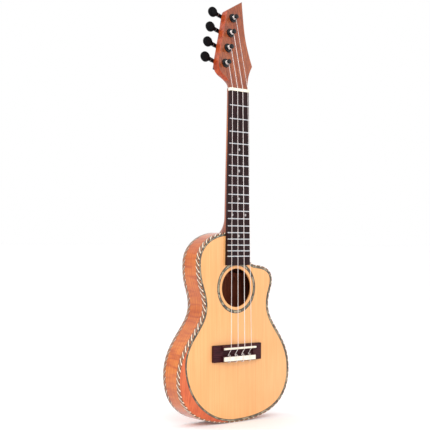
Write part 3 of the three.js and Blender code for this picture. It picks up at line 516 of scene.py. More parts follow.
def bodyCurves():
    left, right = -rimLow.x, rimHigh.x
    waistLeft, waistRight = bodyShape["waistLeft"], bodyShape["waistRight"]
    upperLeft, hornX = bodyShape["upperBoutLeft"], bodyShape["hornReach"]
    shoulderX, wallX = bodyShape["shoulderX"], bodyShape["cutawayWallX"]
    upperZ = neckJointZ - bodyShape["upperBoutFromNeckJoint"]
    waistZ = upperZ - bodyShape["waistFromUpperBout"]
    lowerZ = waistZ - bodyShape["lowerBoutFromWaist"]
    hornZ = neckJointZ - bodyShape["hornFromNeckJoint"]
    scoopZ = neckJointZ - bodyShape["cutawayDepth"]
    wallEndZ = pull(neckJointZ, scoopZ, handles["wallShare"])
    turnX, turnZ = wallX + scoop["turnX"], scoopZ - scoop["turnZ"]
    tailLeft, tailRight = -left * handles["tailAcross"], right * handles["tailAcross"]
    boutLowZ = pull(lowerZ, tailZ, handles["boutDown"])
    boutHighZ = pull(lowerZ, waistZ, handles["boutUp"])
    waistLowZ = pull(waistZ, lowerZ, handles["waistDown"])
    return chain((0, tailZ), [
        ((tailLeft, tailZ), (-left, boutLowZ), (-left, lowerZ)),
        ((-left, boutHighZ), (-waistLeft, waistLowZ), (-waistLeft, waistZ)),
        ((-waistLeft, pull(waistZ, upperZ, handles["waistUp"])),
         (-upperLeft, pull(upperZ, waistZ, handles["shoulderDown"])), (-upperLeft, upperZ)),
        ((-upperLeft, pull(upperZ, neckJointZ, handles["shoulderUp"])),
         (pull(shoulderX, -upperLeft, handles["shoulderAcross"]), neckJointZ), (shoulderX, neckJointZ)),
        ((wallX, neckJointZ),),
        ((wallX, wallEndZ),),
        ((wallX, pull(wallEndZ, scoopZ, handles["wallDown"])),
         (wallX + scoop["bottom"], scoopZ), (turnX, turnZ)),
        ((wallX + scoop["runX"], scoopZ - scoop["runZ"]),
         (hornX, pull(scoopZ, hornZ, handles["hornUp"])), (hornX, hornZ)),
        ((hornX, pull(hornZ, waistZ, handles["hornDown"])),
         (waistRight, pull(waistZ, hornZ, handles["hornWaist"])), (waistRight, waistZ)),
        ((waistRight, waistLowZ), (right, boutHighZ), (right, lowerZ)),
        ((right, boutLowZ), (tailRight, tailZ), (0, tailZ)),
    ])


# Outline points (x, z, inwardX, inwardZ) and how far each lies along from the tail's middle.
def sampleOutline():
    flat = []
    for curve in bodyCurves():
        ends = [Vector((x, z)) for x, z in curve]
        if len(ends) == 4:
            flat += interpolate_bezier(*ends, bodyShape["piecesPerCurve"] + 1)[:-1]
        else:
            steps = max(2, round((ends[1] - ends[0]).length / 5))
            flat += [ends[0].lerp(ends[1], k / steps) for k in range(steps)]
    normals = []
    for k, point in enumerate(flat):
        along = (flat[(k + 1) % len(flat)] - point).normalized()
        normals.append(Vector((along.y, -along.x)))
    edge, travelled, distance = [], [], 0.0
    for k, point in enumerate(flat):
        miter = (normals[k - 1] + normals[k]) / (1 + normals[k - 1].dot(normals[k]))
        if k:
            distance += (point - flat[k - 1]).length
        edge.append((point.x, point.y, miter.x, miter.y))
        travelled.append(distance)
    return edge, travelled, distance + (flat[0] - flat[-1]).length


edge, travelled, edgeLength = sampleOutline()


def edgeAt(s):
    s %= edgeLength
    k = bisect.bisect_right(travelled, s) - 1
    after = (k + 1) % len(edge)
    gap = (travelled[after] if after else edgeLength) - travelled[k]
    share = (s - travelled[k]) / gap
    return tuple(pull(a, b, share) for a, b in zip(edge[k], edge[after]))


def bodyPoint(at, inset, depth):
    return (at[0] + at[2] * inset, topY + depth, at[1] + at[3] * inset)


def depthAt(z):
    deepestZ = tailZ + bodyShape["deepestFromTail"]
    loss = ((z - deepestZ) / (neckJointZ - deepestZ)) ** 2
    return bodyShape["deepest"] - (bodyShape["deepest"] - bodyShape["depthAtNeck"]) * loss


def backDepth(at, inset):
    return depthAt(at[1] + at[3] * inset)


armrest = {
    "start": 2.0, "end": 208.0, "width": 14.4, "drop": 4.2, "sharpness": 2.1,
    "crown": 1.45, "steps": 7, "leastWidth": 0.4, "seatGap": 0.04, "underlap": 0.4,
}


def armrestShare(s):
    t = (s - armrest["start"]) / (armrest["end"] - armrest["start"])
    return math.sin(math.pi * t) ** armrest["sharpness"] if 0 < t < 1 else 0


def bevelInset(s):
    return armrest["width"] * armrestShare(s)


def bevelDrop(s):
    return armrest["drop"] * armrestShare(s)


# Rope binding: slanted slips of three woods, one solid each, that run on round the edge.
# The strands give each slip's share of a period and its place in ropeWoods.
rope = {
    "period": 9.6, "width": 1.6, "height": 6.0, "ease": 0.7, "slant": -1.35,
    "frontStrands": [(0.26, 1), (0.26, 0), (0.24, 2), (0.24, 0)],
    "backStrands": [(0.14, 1), (0.3, 0), (0.26, 2), (0.3, 0)], "pieces": 3,
}
ropeWoods = [darkSlip, lightSlip, amberSlip]


def ropeProfile(level, towards):
    ease, width, height = rope["ease"], rope["width"], rope["height"]
    corner = ease * 0.3
    return [
        (0, level(0) + towards * height), (0, level(0) + towards * height * 0.5),
        (0, level(0) + towards * ease), (corner, level(corner) + towards * corner),
        (ease, level(ease)), (width, level(width)), (width, level(width) + towards * height)]


def makeRope(name, levelAt, towards, strands, node):
    count = round(edgeLength / rope["period"])
    period = edgeLength / count
    height, width, ease = rope["height"], rope["width"], rope["ease"]
    runs = [0, height * 0.5, height - ease, height - ease * 0.4, height, height + width - ease, 0]
    points, faces, tones = [], [], []
    end = 0.0
    for k in range(count * len(strands)):
        share, wood = strands[k % len(strands)]
        start, length = end, period * share
        end += length
        sections = []
        for j in range(rope["pieces"] + 1):
            s = start + (length - seam) * j / rope["pieces"]
            section = []
            for n, run in enumerate(runs):
                here = s + run * rope["slant"]
                at = edgeAt(here)
                inset, depth = ropeProfile(lambda i: levelAt(at, here % edgeLength, i), towards)[n]
                section.append(bodyPoint(at, inset, depth))
            sections.append(section)
        slipPoints, slipFaces = loft(sections)
        first = len(points)
        points += slipPoints
        faces += [tuple(first + v for v in face) for face in slipFaces]
        tones += [wood] * len(slipFaces)
    piece = makePiece(name, (points, faces), ropeWoods, 40, tones)
    return fasten(piece, "root", "rope_inlay", node)


makeRope("frontRopeBinding", lambda at, s, inset: bevelDrop(s), 1, rope["frontStrands"],
         "front_rope_binding")
makeRope("backRopeBinding", lambda at, s, inset: backDepth(at, inset), -1, rope["backStrands"],
         "back_rope_binding")
print("rope bindings laid")


# A closed band that follows the outline, from a section of (inset, depth) pairs at each point.
def edgeBand(name, sectionAt, materials, faceTones, sharp=35):
    sections, uvs = [], []
    for at, s in zip(edge + edge[:1], travelled + [edgeLength]):
        pairs = sectionAt(at, s % edgeLength)
        sections.append([bodyPoint(at, inset, depth) for inset, depth in pairs])
        uvs += [(s * mm, depth * mm) for inset, depth in pairs]
    points, faces = loft(sections)
    length = len(sections[0])
    sides = faces[:-2]
    tones = [faceTones[n % length] for n in range(len(sides))]
    piece = makePiece(name, (points, sides), materials, sharp, tones, uvs)
    faceOut(piece, sharp, True)
    return piece


def sideSection(at, s):
    front = bevelDrop(s) + rope["height"] + seam
    wall = bodyShape["sideThickness"]
    back = backDepth(at, 0) - rope["height"] - seam
    middle = (front + back) / 2
    return [(0, front), (0, middle), (0, back), (wall, back), (wall, front)]


# The side's inner face takes the inside wood with its painted shade.
side = edgeBand("sideWood", sideSection, [figuredSide, shadedInnerWood], [0, 0, 0, 1, 0])
fasten(side, "root", "figured_wood", "rim")

purflingShape = {"line": 0.65, "shell": 1.9, "depth": 1.3}
purflingWidth = purflingShape["line"] * 2 + purflingShape["shell"]


def purflingStart(s):
    return rope["width"] + seam + bevelInset(s)


def purflingSection(at, s):
    start, line, shell = purflingStart(s), purflingShape["line"], purflingShape["shell"]
    inner, deep = start + purflingWidth, purflingShape["depth"]
    face = [(start, 0), (start + line, 0), (start + line + shell, 0), (inner, 0)]
    return face + [(inner, deep), (start, deep)]


purfling = edgeBand("shellPurfling", purflingSection, [darkLine, shellInlay], [0, 1, 0, 0, 0, 0])
fasten(purfling, "root", "shell_inlay")


# The rounded rest for the forearm, falling from the top's edge to the lowered binding.
def makeArmrest():
    steps = armrest["steps"]
    sections = []
    for at, s in zip(edge, travelled):
        reach, drop = bevelInset(s), bevelDrop(s)
        if reach < armrest["leastWidth"]:
            continue
        outer = rope["width"] + armrest["seatGap"]
        crest = [
            (outer + reach * k / steps, drop * (1 - k / steps) ** armrest["crown"])
            for k in range(steps + 1)]
        floor = max(bodyShape["topThickness"], drop + armrest["underlap"])
        pairs = crest + [(outer + reach, floor), (outer, floor)]
        sections.append([bodyPoint(at, inset, depth) for inset, depth in pairs])
    piece = makePiece("armrestBevel", loft(sections), [armrestWood], 50)
    return fasten(piece, "root", "armrest_wood", "armrest")


makeArmrest()

rosette = {
    "holeRadius": 28.7, "innerRadius": 33.0, "width": 5.0, "line": 0.95, "depth": 0.9,
    "channelPlay": 0.04, "channelFloor": 0.03,
}
rosetteLow, rosetteHigh = nodeBox("rosette")
holeZ = (rosetteLow.z + rosetteHigh.z) / 2


def flatPlate(name, outlinePoints, holes, yFront, thickness, ease, material):
    curve = bpy.data.curves.new(name, "CURVE")
    curve.dimensions = "2D"
    curve.fill_mode = "BOTH"
    curve.extrude = (thickness / 2 - ease) * mm
    curve.bevel_depth = ease * mm
    curve.bevel_resolution = 2
    curve.offset = -ease * mm
    for ring in [outlinePoints] + holes:
        spline = curve.splines.new("POLY")
        spline.points.add(len(ring) - 1)
        for point, (x, z) in zip(spline.points, ring):
            point.co = (x * mm, z * mm, 0, 1)
        spline.use_cyclic_u = True
    sketch = addObject(name, curve)
    mesh = bakedMesh(sketch)
    bpy.data.objects.remove(sketch)
    mesh.transform(Matrix.Translation((0, (yFront + thickness / 2) * mm, 0))
                   @ Matrix.Rotation(math.pi / 2, 4, "X"))
    piece = addObject(name, mesh)
    mesh.materials.clear()
    mesh.materials.append(material)
    faceOut(piece, 30, True)
    return piece


def circle(radius, z, segments=96):
    points = [around(radius, k, segments) for k in range(segments)]
    return [(a, z + b) for a, b in points]


def insetOutline(insetAt):
    return [
        (at[0] + at[2] * insetAt(s), at[1] + at[3] * insetAt(s)) for at, s in zip(edge, travelled)]


faceFrame = Matrix.Translation((0, topY, holeZ))  # the sound hole's centre on the soundboard's front


def makeTop():
    outer = insetOutline(lambda s: purflingStart(s) + purflingWidth + seam)
    hole = circle(rosette["holeRadius"], holeZ)
    top = flatPlate("spruceSoundboard", outer, [hole], topY, bodyShape["topThickness"], 0.12, spruceTop)
    play, start = rosette["channelPlay"], rosette["innerRadius"]
    inner, outer = start - play, start + rosette["width"] + play
    deep = rosette["depth"] + rosette["channelFloor"]
    profile = [(inner, -1), (outer, -1), (outer, deep), (inner, deep)]
    cutAway(top, makePiece("channelTool", turnedRing(profile, faceFrame, 96), []))
    shade(top, 30)
    return fasten(top, "root", "spruce_top", "soundboard")


makeTop()


def makeRosette():
    start, line = rosette["innerRadius"], rosette["line"]
    end, deep = start + rosette["width"], rosette["depth"]
    rings = [start, start + line, end - line, end]
    profile = [(r, 0) for r in rings] + [(end, deep), (start, deep)]
    shape = turnedRing(profile, faceFrame, 144)
    tones = [1 if n % len(profile) == 1 else 0 for n in range(len(shape[1]))]
    piece = makePiece("shellRosette", shape, [darkLine, shellInlay], 35, tones)
    return fasten(piece, "root", "shell_inlay", "rosette")


makeRosette()


# The back is a thin plate that follows the body's changing depth.
def makeBack():
    outer = insetOutline(lambda s: rope["width"] + seam)
    plate = flatPlate("figuredBackPlate", outer, [], 0, bodyShape["backThickness"], 0.1, figuredBack)
    work = bmesh.new()
    work.from_mesh(plate.data)
    cuts = 40
    for k in range(1, cuts):
        z = pull(tailZ, neckJointZ, k / cuts) * mm
        parts = work.verts[:] + work.edges[:] + work.faces[:]
        bmesh.ops.bisect_plane(work, geom=parts, plane_co=(0, 0, z), plane_no=(0, 0, 1), dist=1e-7)
    for vertex in work.verts:
        vertex.co.y += (topY + depthAt(vertex.co.z / mm) - bodyShape["backThickness"]) * mm
    work.to_mesh(plate.data)
    work.free()
    shade(plate, 30)
    # The back's inner face takes the inside wood with its painted shade.
    plate.data.materials.append(shadedInnerWood)
    for face in plate.data.polygons:
        face.material_index = 1 if face.normal.y < -0.5 else 0
    return fasten(plate, "root", "figured_wood", "back_plate")


makeBack()
print("body made")


# Neck and headstock, one piece of wood

neckShape = {
    "inset": 0.8, "depthAtNut": 16.8, "depthAtHeel": 20.0, "heelLength": 24.0, "heelSweep": 2.2,
    "heelGap": 2.0, "ease": 0.4, "pointsRound": 30, "glueGap": 0.1,
}
head = {
    "tilt": 10.0, "thickness": 13.0, "faceY": 1.0, "faceZ": 4.0, "seatEnd": 4.6,
    "stations": 64, "tipW": 140.6, "squareness": 26.0, "squareRun": 42.0, "rootPower": 2.1,
    "rootSwell": 2.9, "rootRun": 18.0, "sideAbove": 14.0,
}
tilt = math.radians(head["tilt"])
headFrame = Matrix.Translation((0, head["faceY"], head["faceZ"])) @ Matrix.Rotation(-tilt, 4, "X")


def boardHalf(z):
    return pull(nutHalf, boardEndHalf, z / boardEndZ)


def edgeLine(curves):
    line = []
    for curve in curves:
        ends = [Vector(p) for p in curve]
        line += interpolate_bezier(*ends, 25)[:-1] if len(ends) == 4 else [ends[0]]
    return line + [Vector(curves[-1][-1])]


rootHalf = nutHalf - neckShape["inset"]
rightLine = edgeLine(chain((rootHalf, -4), [
    ((16.2, 8), (22.6, 26), (32.3, 37.5)),
    ((28, 56), (24.6, 72), (24.6, 92)),
    ((24.6, 108), (25.6, 124), (26.5, 140.6)),
]))
leftLine = edgeLine(chain((-rootHalf, -4), [
    ((-17, 5), (-19.6, 13), (-26.5, 18)),
    ((-36, 23.2), (-37.8, 32.5), (-34.2, 43)),
    ((-6.4, 120.8),),
    ((-5.9, 122.2), (-5, 123.4), (-3.6, 124.2)),
    ((26.5, 140.6),),
]))


def acrossAt(line, w):
    for a, b in zip(line, line[1:]):
        if a.y <= w <= b.y:
            return pull(a.x, b.x, (w - a.y) / max(b.y - a.y, 1e-6))
    return line[-1].x if w > line[-1].y else line[0].x


# One cross-section from its flat front to its back: an ellipse at 2, a rounded square above 20.
def neckSection(place, left, right, depth, power):
    ease = min(neckShape["ease"], (right - left) / 4)
    middle, half = (left + right) / 2, (right - left) / 2
    section = [place @ Vector((right - ease, 0, 0))]
    count = neckShape["pointsRound"]
    for k in range(count + 1):
        angle = math.pi * k / count
        across = math.copysign(abs(math.cos(angle)) ** (2 / power), math.cos(angle))
        down = abs(math.sin(angle)) ** (2 / power)
        section.append(place @ Vector((middle + half * across, ease + (depth - ease) * down, 0)))
    section.append(place @ Vector((left + ease, 0, 0)))
    return section


def neckStations():
    heelTopZ = neckJointZ + neckShape["heelLength"]
    heelY = topY + bodyShape["depthAtNeck"] - neckShape["heelGap"]
    bottomZ = neckJointZ + neckShape["glueGap"]
    heelSteps, shaftSteps = 12, 20
    stations = []
    for k in range(heelSteps + 1):
        grow = (1 - k / heelSteps) ** neckShape["heelSweep"]
        depth = pull(neckShape["depthAtHeel"], heelY, grow) - topY
        stations.append((pull(bottomZ, heelTopZ, k / heelSteps), depth))
    for k in range(1, shaftSteps):
        depth = pull(neckShape["depthAtHeel"], neckShape["depthAtNut"], k / shaftSteps) - topY
        stations.append((pull(heelTopZ, 0, k / shaftSteps), depth))
    return stations


def headSection(place, w, depth, power):
    return neckSection(place, acrossAt(leftLine, w), acrossAt(rightLine, w), depth, power)


def makeNeck():
    sections = []
    for z, depth in neckStations():
        half = boardHalf(z) - neckShape["inset"]
        sections.append(neckSection(Matrix.Translation((0, topY, z)), -half, half, depth, 2))
    # under the nut, the sections lean back to meet the headstock's slope
    rootPower = head["rootPower"]
    for z, lean in ((0, 0.5), (head["seatEnd"], 1)):
        place = Matrix.Translation((0, topY, z)) @ Matrix.Rotation(-tilt * lean, 4, "X")
        depth = neckShape["depthAtNut"] - topY
        sections.append(headSection(place, z - head["faceZ"], depth, rootPower))
    firstW = (head["seatEnd"] + 0.01 - head["faceZ"]) / math.cos(tilt)
    heights = {firstW, 16.5, 18, 20, 22, 43, 120.8, 122, 123.2, 124.2, 140.4}
    heights |= {pull(firstW, head["tipW"], k / head["stations"])
                for k in range(head["stations"])}
    for w in sorted(heights):
        thick = head["thickness"] + head["rootSwell"] * max(0, 1 - w / head["rootRun"]) ** 2
        square = smooth((w + 1) / head["squareRun"]) ** 2
        power = pull(rootPower, head["squareness"], square)
        sections.append(headSection(headFrame @ Matrix.Translation((0, 0, w)), w, thick, power))
    neck = makePiece("neckAndHeadstock", loft(sections), [neckMahogany], 40)
    for place in tunerPlaces:
        radius = tuner["bushingRadius"] + tuner["runningGap"]
        cutAway(neck, roundTool(radius, -5, 20, place, 48))
    shade(neck, 40)
    # The headstock's side faces take the painted-shade copy of the mahogany, not a different wood.
    neck.data.materials.append(sideShadeMahogany)
    for face in neck.data.polygons:
        onSide = abs(face.normal.x) > 0.55 and face.center.z > head["sideAbove"] * mm
        face.material_index = 1 if onSide else 0
    return fasten(neck, "root", "neck_mahogany", "neck")


# Tuners: each place has y behind the face, z along the row and -x towards its button
tuner = {
    "rowAngle": 18.8, "spacing": 25.9, "firstX": -21.9, "firstW": 37.4,
    "postRadius": 3.0, "waistRadius": 2.5, "postProud": 10.5, "capRadius": 3.7, "capLength": 2.6,
    "bushingRadius": 4.2, "flangeRadius": 6.8, "flangeThickness": 1.6,
    "wormDepth": 18.5, "wormOffset": 5.5, "wheelRadius": 3.5, "wheelTeeth": 14,
    "wheelThickness": 3.2, "holeRadius": 0.7, "windingDepth": 4.2,
    "buttonReach": 25.3, "buttonRadius": 7.9, "buttonThickness": 7.0,
    "bossRadius": 2.9, "snoutEnd": 12.1, "runningGap": 0.3, "ringStart": 9.3, "ringEnd": 10.1,
}
rowAngle = math.radians(tuner["rowAngle"])


def tunerPlace(i):
    x = tuner["firstX"] + i * tuner["spacing"] * math.sin(rowAngle)
    w = tuner["firstW"] + i * tuner["spacing"] * math.cos(rowAngle)
    return headFrame @ Matrix.Translation((x, 0, w)) @ Matrix.Rotation(rowAngle, 4, "Y")


tunerPlaces = [tunerPlace(i) for i in range(4)]
makeNeck()
print("neck made")


def makeBushing(i, place):
    flange, thick = tuner["flangeRadius"], tuner["flangeThickness"]
    bore, outer = tuner["postRadius"] + tuner["runningGap"], tuner["bushingRadius"]
    profile = [
        (bore, -thick - 0.25), (bore + 1.0, -thick - 0.25), (bore + 1.25, -thick),
        (flange - 0.7, -thick), (flange - 0.2, -thick + 0.2), (flange, -thick + 0.7),
        (flange, -0.05), (outer, -0.05), (outer, 12), (bore, 12)]
    piece = makePiece(f"washerAndBushing{i + 1}", turnedRing(profile, place, 48), [blackMetal], 30)
    fasten(piece, "root", "black_metal", f"tuner_bushing_{i + 1}")


def makePost(i, place):
    proud, cap, capLength = tuner["postProud"], tuner["capRadius"], tuner["capLength"]
    radius, waist = tuner["postRadius"], tuner["waistRadius"]
    back = tuner["wormDepth"] + tuner["wheelThickness"] / 2
    front = back - tuner["wheelThickness"]
    profile = [
        (0, -proud - 0.05), (1.4, -proud), (cap - 0.7, -proud + 0.1), (cap - 0.2, -proud + 0.35),
        (cap, -proud + 0.8), (cap, -proud + capLength - 0.2), (cap - 0.2, -proud + capLength),
        (waist + 0.2, -proud + capLength + 0.5), (waist, -proud + capLength + 0.9),
        (waist, -2.6), (waist + 0.2, -2.2), (radius, -1.9), (radius, 12.5), (2.2, 13),
        (2.2, front), (tuner["wheelRadius"] - 0.5, front), (tuner["wheelRadius"] - 0.5, back),
        (2.2, back), (2.2, back + 0.2), (0, back + 0.2)]
    post = makePiece(f"stringPost{i + 1}", turned(profile, place, 40), [blackMetal], 32)
    across = place @ Matrix.Translation((0, -tuner["windingDepth"], 0))
    across = across @ Matrix.Rotation(math.pi / 2, 4, "Z")
    cutAway(post, roundTool(tuner["holeRadius"], -6, 6, across, 20))
    shade(post, 32)
    fasten(post, f"post_{i + 1}", "black_metal", f"string_post_{i + 1}")
    addWheel(i, place, front, back)


def addWheel(i, place, front, back):
    count = tuner["wheelTeeth"] * 4
    rims = [tuner["wheelRadius"] - (0.5 if k % 4 > 1 else 0.0) for k in range(count)]
    sections = []
    for along in (front + 0.02, back - 0.02):
        teeth = [around(radius, k, count) for k, radius in enumerate(rims)]
        sections.append([place @ Vector((a, along, b)) for a, b in teeth])
    wheel = makePiece(f"wormWheel{i + 1}", loft(sections), [shaftSteel], 30)
    fasten(wheel, f"post_{i + 1}", "shaft_steel")


def makeButton(i, place):
    half, radius = tuner["buttonThickness"] / 2, tuner["buttonRadius"]
    reach, depth, offset = tuner["buttonReach"], tuner["wormDepth"], tuner["wormOffset"]
    centre = place @ Matrix.Translation((-reach, depth, offset))
    front = [
        (0, -half + 0.35), (1.6, -half + 0.3), (3.4, -half), (radius - 2.4, -half),
        (radius - 1.3, -half + 0.35), (radius - 0.5, -half + 1.2), (radius - 0.1, -half + 2.2),
        (radius, -half + 3.0)]
    profile = front + [(r, -along) for r, along in reversed(front)]
    button = makePiece(f"tunerButton{i + 1}", turned(profile, centre, 56), [buttonPlastic], 40)
    fasten(button, f"button_{i + 1}", "button_plastic", f"tuner_button_{i + 1}")
    length = reach - tuner["snoutEnd"] - tuner["runningGap"]
    collar = centre @ Matrix.Rotation(-math.pi / 2, 4, "Z")
    boss = tuner["bossRadius"]
    profile = [
        (0, radius - 1.2), (boss + 0.5, radius - 1.2), (boss + 0.3, radius + 0.4), (boss, radius + 1.2),
        (boss, length - 1.4), (boss + 0.35, length - 1.2), (boss + 0.35, length - 0.5),
        (boss, length - 0.2), (boss - 0.3, length), (0, length)]
    neck = makePiece(f"buttonCollar{i + 1}", turned(profile, collar, 32), [buttonPlastic])
    fasten(neck, f"button_{i + 1}", "button_plastic")
    start, end = tuner["ringStart"], tuner["ringEnd"]
    profile = [(boss - 0.2, start), (boss + 0.3, start), (boss + 0.3, end), (boss - 0.2, end)]
    ring = makePiece(f"collarRing{i + 1}", turnedRing(profile, collar, 32), [shaftSteel])
    fasten(ring, f"button_{i + 1}", "shaft_steel")


for i, place in enumerate(tunerPlaces):
    makeBushing(i, place)
    makePost(i, place)
    makeButton(i, place)
print("tuners made")


# Strings

strings = {
    "diameters": [0.62, 0.9, 0.82, 0.68], "spanAtNut": 30.6, "spanAtSaddle": 40.0,
    "heightAtNut": 1.4, "heightAtSaddle": 7.25, "turns": 3.5, "sides": 10,
    "windingTop": 6.9, "windingEnd": 3.0,
}
saddleLow, saddleHigh = nodeBox("saddle")
capLow, capHigh = nodeBox("tie_block_cap")
blockBack = nodeBox("bridge")[0].z


def stringX(i, width):
    return width * (0.5 - i / 3)


# A round bar along a path, its section carried along without twisting.
def sweepBar(path, radius, sides):
    path = [Vector(p) for p in path]
    sections, side = [], None
    for k, point in enumerate(path):
        along = (path[min(k + 1, len(path) - 1)] - path[max(k - 1, 0)]).normalized()
        if side is None:
            side = along.orthogonal().normalized()
        side = (side - along * side.dot(along)).normalized()
        over = along.cross(side)
        ring = [around(radius, n, sides) for n in range(sides)]
        sections.append([point + side * a + over * b for a, b in ring])
    return loft(sections)


def curvedPath(points, steps=5):
    path = []
    points = [Vector(p) for p in points]
    for k in range(len(points) - 1):
        before, after = points[max(k - 1, 0)], points[min(k + 2, len(points) - 1)]
        start, end = points[k], points[k + 1]
        reach = (end - start).length / 3
        startPull = (end - before).normalized() * reach
        endPull = (after - start).normalized() * reach
        path += interpolate_bezier(start, start + startPull, end - endPull, end, steps + 1)[:-1]
    return path + [points[-1]]


def makeString(i):
    number = i + 1
    postIndex = 3 - i
    radius = strings["diameters"][i] / 2
    place = tunerPlaces[postIndex]
    nutX, x = stringX(i, strings["spanAtNut"]), stringX(i, strings["spanAtSaddle"])
    windRadius = tuner["waistRadius"] + radius
    depth = tuner["windingDepth"]
    nutBack = Vector((nutX, -strings["heightAtNut"], 3.7))
    post = headFrame.inverted() @ place.translation
    toPost = post - headFrame.inverted() @ nutBack
    toPost = Vector((toPost.x, 0, toPost.z)).normalized()
    rightWay = Vector((toPost.z, 0, -toPost.x))
    meet = headFrame @ (Vector((post.x, -depth, post.z)) + rightWay * (windRadius + seam))
    saddleZ = (saddleLow.z + saddleHigh.z) / 2
    crest = -strings["heightAtSaddle"]
    capTop = capLow.y - radius - seam
    capMiddle = (capLow.z + capHigh.z) / 2
    blockFront = capHigh.z + 1.1
    lead = 0.9 + radius * 2
    straight = [meet, nutBack, (nutX, -strings["heightAtNut"], 0.9),
                (x, crest, saddleZ + 0.9), (x, crest, saddleZ - 0.9)]
    # down from the saddle, through the block, back over its cap, round itself and under
    tail = curvedPath([
        (x, crest + 0.25, saddleZ - 1.25), (x, -0.35, blockFront + 1.0),
        (x, 0.1, blockFront - 0.6),
        (x, 0.1, blockBack - 0.4), (x, -0.6, blockBack - 1.1),
        (x + 0.1, -3.2, blockBack - 0.9), (x + 0.2, capTop + 0.5, blockBack + 0.6),
        (x + 0.3, capTop, capMiddle - 2.4), (x + 0.5, capTop, capMiddle + 2.4),
        (x + 0.7, capTop + 0.7, blockFront + 0.3), (x + lead, -2.9, blockFront + 0.9),
        (x + 0.2, -1.3 - radius * 2, blockFront + 1.9), (x - lead, -2.7, blockFront + 0.9),
        (x - lead, capTop + 0.5, blockFront - 0.4), (x - lead, capTop, capMiddle + 1.2),
        (x - lead - 0.5, capTop - 0.1, capMiddle - 2.2)])
    bar = sweepBar(straight + tail, radius, strings["sides"])
    piece = makePiece(f"string{number}", bar, [stringPolymer], 60)
    fasten(piece, "root", "string_polymer", f"string_{number}")
    turns, steps = strings["turns"], 22
    startAngle = math.atan2(-rightWay.x, rightWay.z) + math.pi / 2
    winding = []
    for k in range(int(turns * steps) + 1):
        share = k / (turns * steps)
        angle = startAngle + 2 * math.pi * turns * share
        along = -pull(strings["windingTop"], strings["windingEnd"], share)
        winding.append(place @ Vector((windRadius * math.cos(angle), along, windRadius * math.sin(angle))))
    bar = sweepBar(winding, radius * 0.96, strings["sides"])
    coil = makePiece(f"stringWinding{number}", bar, [stringPolymer], 60)
    fasten(coil, f"post_{postIndex + 1}", "string_polymer")


for i in range(4):
    makeString(i)
print("strings made")


# Fret wires, with a rounded crown and bevelled ends

fret = {
    "crownHalf": 1.0, "crownHeight": 1.0, "tangHalf": 0.25, "tangDepth": 1.6,
    "endSlope": 0.45, "bevel": 0.6, "arcSteps": 10,
}


def makeFret(number):
    low, high = nodeBox(f"fret_{number}")
    z, half = (low.z + high.z) / 2, high.x
    tang, deep, steps = fret["tangHalf"], fret["tangDepth"], fret["arcSteps"]
    section = []
    for k in range(steps + 1):
        angle = math.pi * k / steps
        crown = fret["crownHalf"] * math.cos(angle)
        section.append((crown, -fret["crownHeight"] * math.sin(angle)))
    section += [(-tang, 0), (-tang, deep), (tang, deep), (tang, 0)]
    sections = []
    for sign, drawn in ((-1, 0), (-1, 1), (1, 1), (1, 0)):
        ring = []
        for dz, y in section:
            slope = fret["bevel"] if drawn else fret["endSlope"] * max(0, -y)
            ring.append((sign * (half - slope), y if drawn or y > 0 else y * 0.9, z + dz))
        sections.append(ring)
    wire = makePiece(f"fretWire{number}", loft(sections), [fretWire], 50)
    fasten(wire, "root", "fret_wire", f"fret_{number}")
    return z


fretZ = [0.0] + [makeFret(number) for number in range(1, 19)]

dot = {"radius": 1.9, "thickness": 0.8, "proud": 0.03, "pairX": 13.0}


def makeDot(name, x, z):
    place = Matrix.Translation((x, 0, z))
    radius, deep, proud = dot["radius"], dot["thickness"], dot["proud"]
    profile = [(0, -proud), (radius - 0.1, -proud), (radius, 0), (radius, deep), (0, deep)]
    fasten(makePiece(name, turned(profile, place, 32), [pearlDot], 40), "root", "shell_inlay")


for number in (5, 7, 10, 15):
    makeDot(f"positionDot{number}", 0, (fretZ[number - 1] + fretZ[number]) / 2)
for name, x in (("Left", -dot["pairX"]), ("Right", dot["pairX"])):
    makeDot(f"positionDot12{name}", x, (fretZ[11] + fretZ[12]) / 2)
print("fretboard fitted")


# Finishes and eased edges for the parts kept from the frame

# The bridge plate, blocks, linings and braces take the inside wood with its painted shade.
keptParts = {
    "fretboard": (boardRosewood, 0.12), "bridge": (bridgeRosewood, 0.45), "bridge_plate": (shadedInnerWood, 0),
    "saddle": (boneWhite, 0.35), "nut": (boneWhite, 0.25), "tie_block_cap": (boneWhite, 0.3),
    "neck_block": (shadedInnerWood, 0), "tail_block": (shadedInnerWood, 0),
    "front_lining_and_braces": (shadedInnerWood, 0), "back_lining_and_braces": (shadedInnerWood, 0),
}
for i in range(1, 5):
    keptParts[f"tuner_housing_{i}"] = (blackMetal, 0.6)
    keptParts[f"worm_shaft_{i}"] = (shaftSteel, 0)

for name, (material, ease) in keptParts.items():
    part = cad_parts[name]
    part.data.materials.clear()
    part.data.materials.append(material)
    if ease:
        rounding = part.modifiers.new("easedEdges", "BEVEL")
        rounding.width = ease * mm
        rounding.segments = 3
        rounding.limit_method = "ANGLE"
        rounding.angle_limit = math.radians(40)
print("kept parts finished")


# Studio

studio = {
    "lens": 89.0, "yaw": 0.70958, "pitch": -0.02397, "roll": -0.0062, "distance": 1.582,
    "shiftRight": -0.0356, "shiftUp": 0.0054, "aim": (0, 0, -0.190),
    "floorReach": 40000.0, "floorColor": "#FFFEFF", "floorGlow": 0.06,
    "worldColor": "#FFFFFF", "worldStrength": 1.0, "floorDrop": 0.3,
    "lamps": {
        "keyLight": ((-1.6, -2.0, 1.2), (0, 0, -0.2), 1.2, 21.0, (1, 0.98, 0.95)),
        "fillLight": ((1.8, -1.6, 0.4), (0, 0, -0.2), 1.5, 4.0, (0.97, 0.98, 1)),
        "topLight": ((-1.3, 1.2, 1.5), (0, 0, -0.25), 1.4, 10.0, (1, 0.99, 0.98)),
    },
}


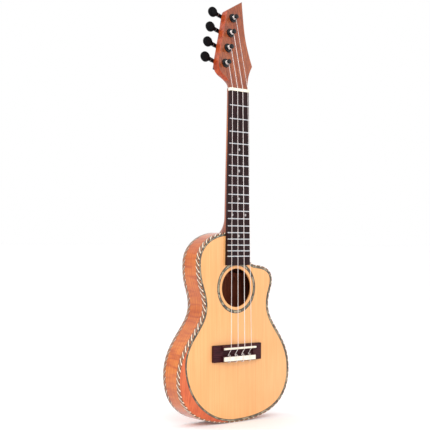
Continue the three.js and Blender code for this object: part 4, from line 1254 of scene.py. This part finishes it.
def makeCamera():
    yaw, pitch, roll = studio["yaw"], studio["pitch"], studio["roll"]
    back = Vector((-math.sin(yaw) * math.cos(pitch), -math.cos(yaw) * math.cos(pitch), math.sin(pitch)))
    right = Vector((math.cos(yaw), -math.sin(yaw), 0))
    up = back.cross(right)
    place = (Vector(studio["aim"]) + back * studio["distance"] + right * studio["shiftRight"]
             + up * studio["shiftUp"])
    rightRolled = right * math.cos(roll) - up * math.sin(roll)
    upRolled = right * math.sin(roll) + up * math.cos(roll)
    data = bpy.data.cameras.new("camera")
    data.lens, data.sensor_width = studio["lens"], 36.0
    camera = addObject("camera", data)
    turn = Matrix((rightRolled, upRolled, back)).transposed().to_4x4()
    camera.matrix_world = Matrix.Translation(place) @ turn
    bpy.context.scene.camera = camera


def makeLamp(name, place, aim, size, power, color):
    data = bpy.data.lights.new(name, "AREA")
    data.size, data.energy, data.color = size, power, color
    lamp = addObject(name, data)
    lamp.location = place
    lamp.rotation_mode = "QUATERNION"
    lamp.rotation_quaternion = (Vector(aim) - Vector(place)).to_track_quat("-Z", "Y")


def makeFloor():
    material, shader = newMaterial("paleFloor", {
        "Specular IOR Level": 0.2, "Emission Color": (1, 1, 1, 1), "Emission Strength": studio["floorGlow"]})
    cloud = noise(material, objectSpace(material), 3.0, 2.0)
    color = ramp(material, cloud, [(0.3, "#F9F8FA"), (0.7, studio["floorColor"])])
    join(material, color, shader.inputs["Base Color"])
    join(material, span(material, cloud, 0.55, 0.65), shader.inputs["Roughness"])
    level, reach = tailZ - studio["floorDrop"], studio["floorReach"]
    corners = ((-reach, -reach), (reach, -reach), (reach, reach), (-reach, reach))
    points = [(x, y, level) for x, y in corners]
    makePiece("floor", (points, [(0, 1, 2, 3)]), [material])


world = bpy.data.worlds.new("studioLight")
world.use_nodes = True
sky = world.node_tree.nodes["Background"].inputs
sky["Color"].default_value = tint(studio["worldColor"])
sky["Strength"].default_value = studio["worldStrength"]
bpy.context.scene.world = world
bpy.context.scene.view_settings.view_transform = "Standard"
makeCamera()
makeFloor()
for name, lamp in studio["lamps"].items():
    makeLamp(name, *lamp)
print("studio set")

bpy.context.view_layer.update()
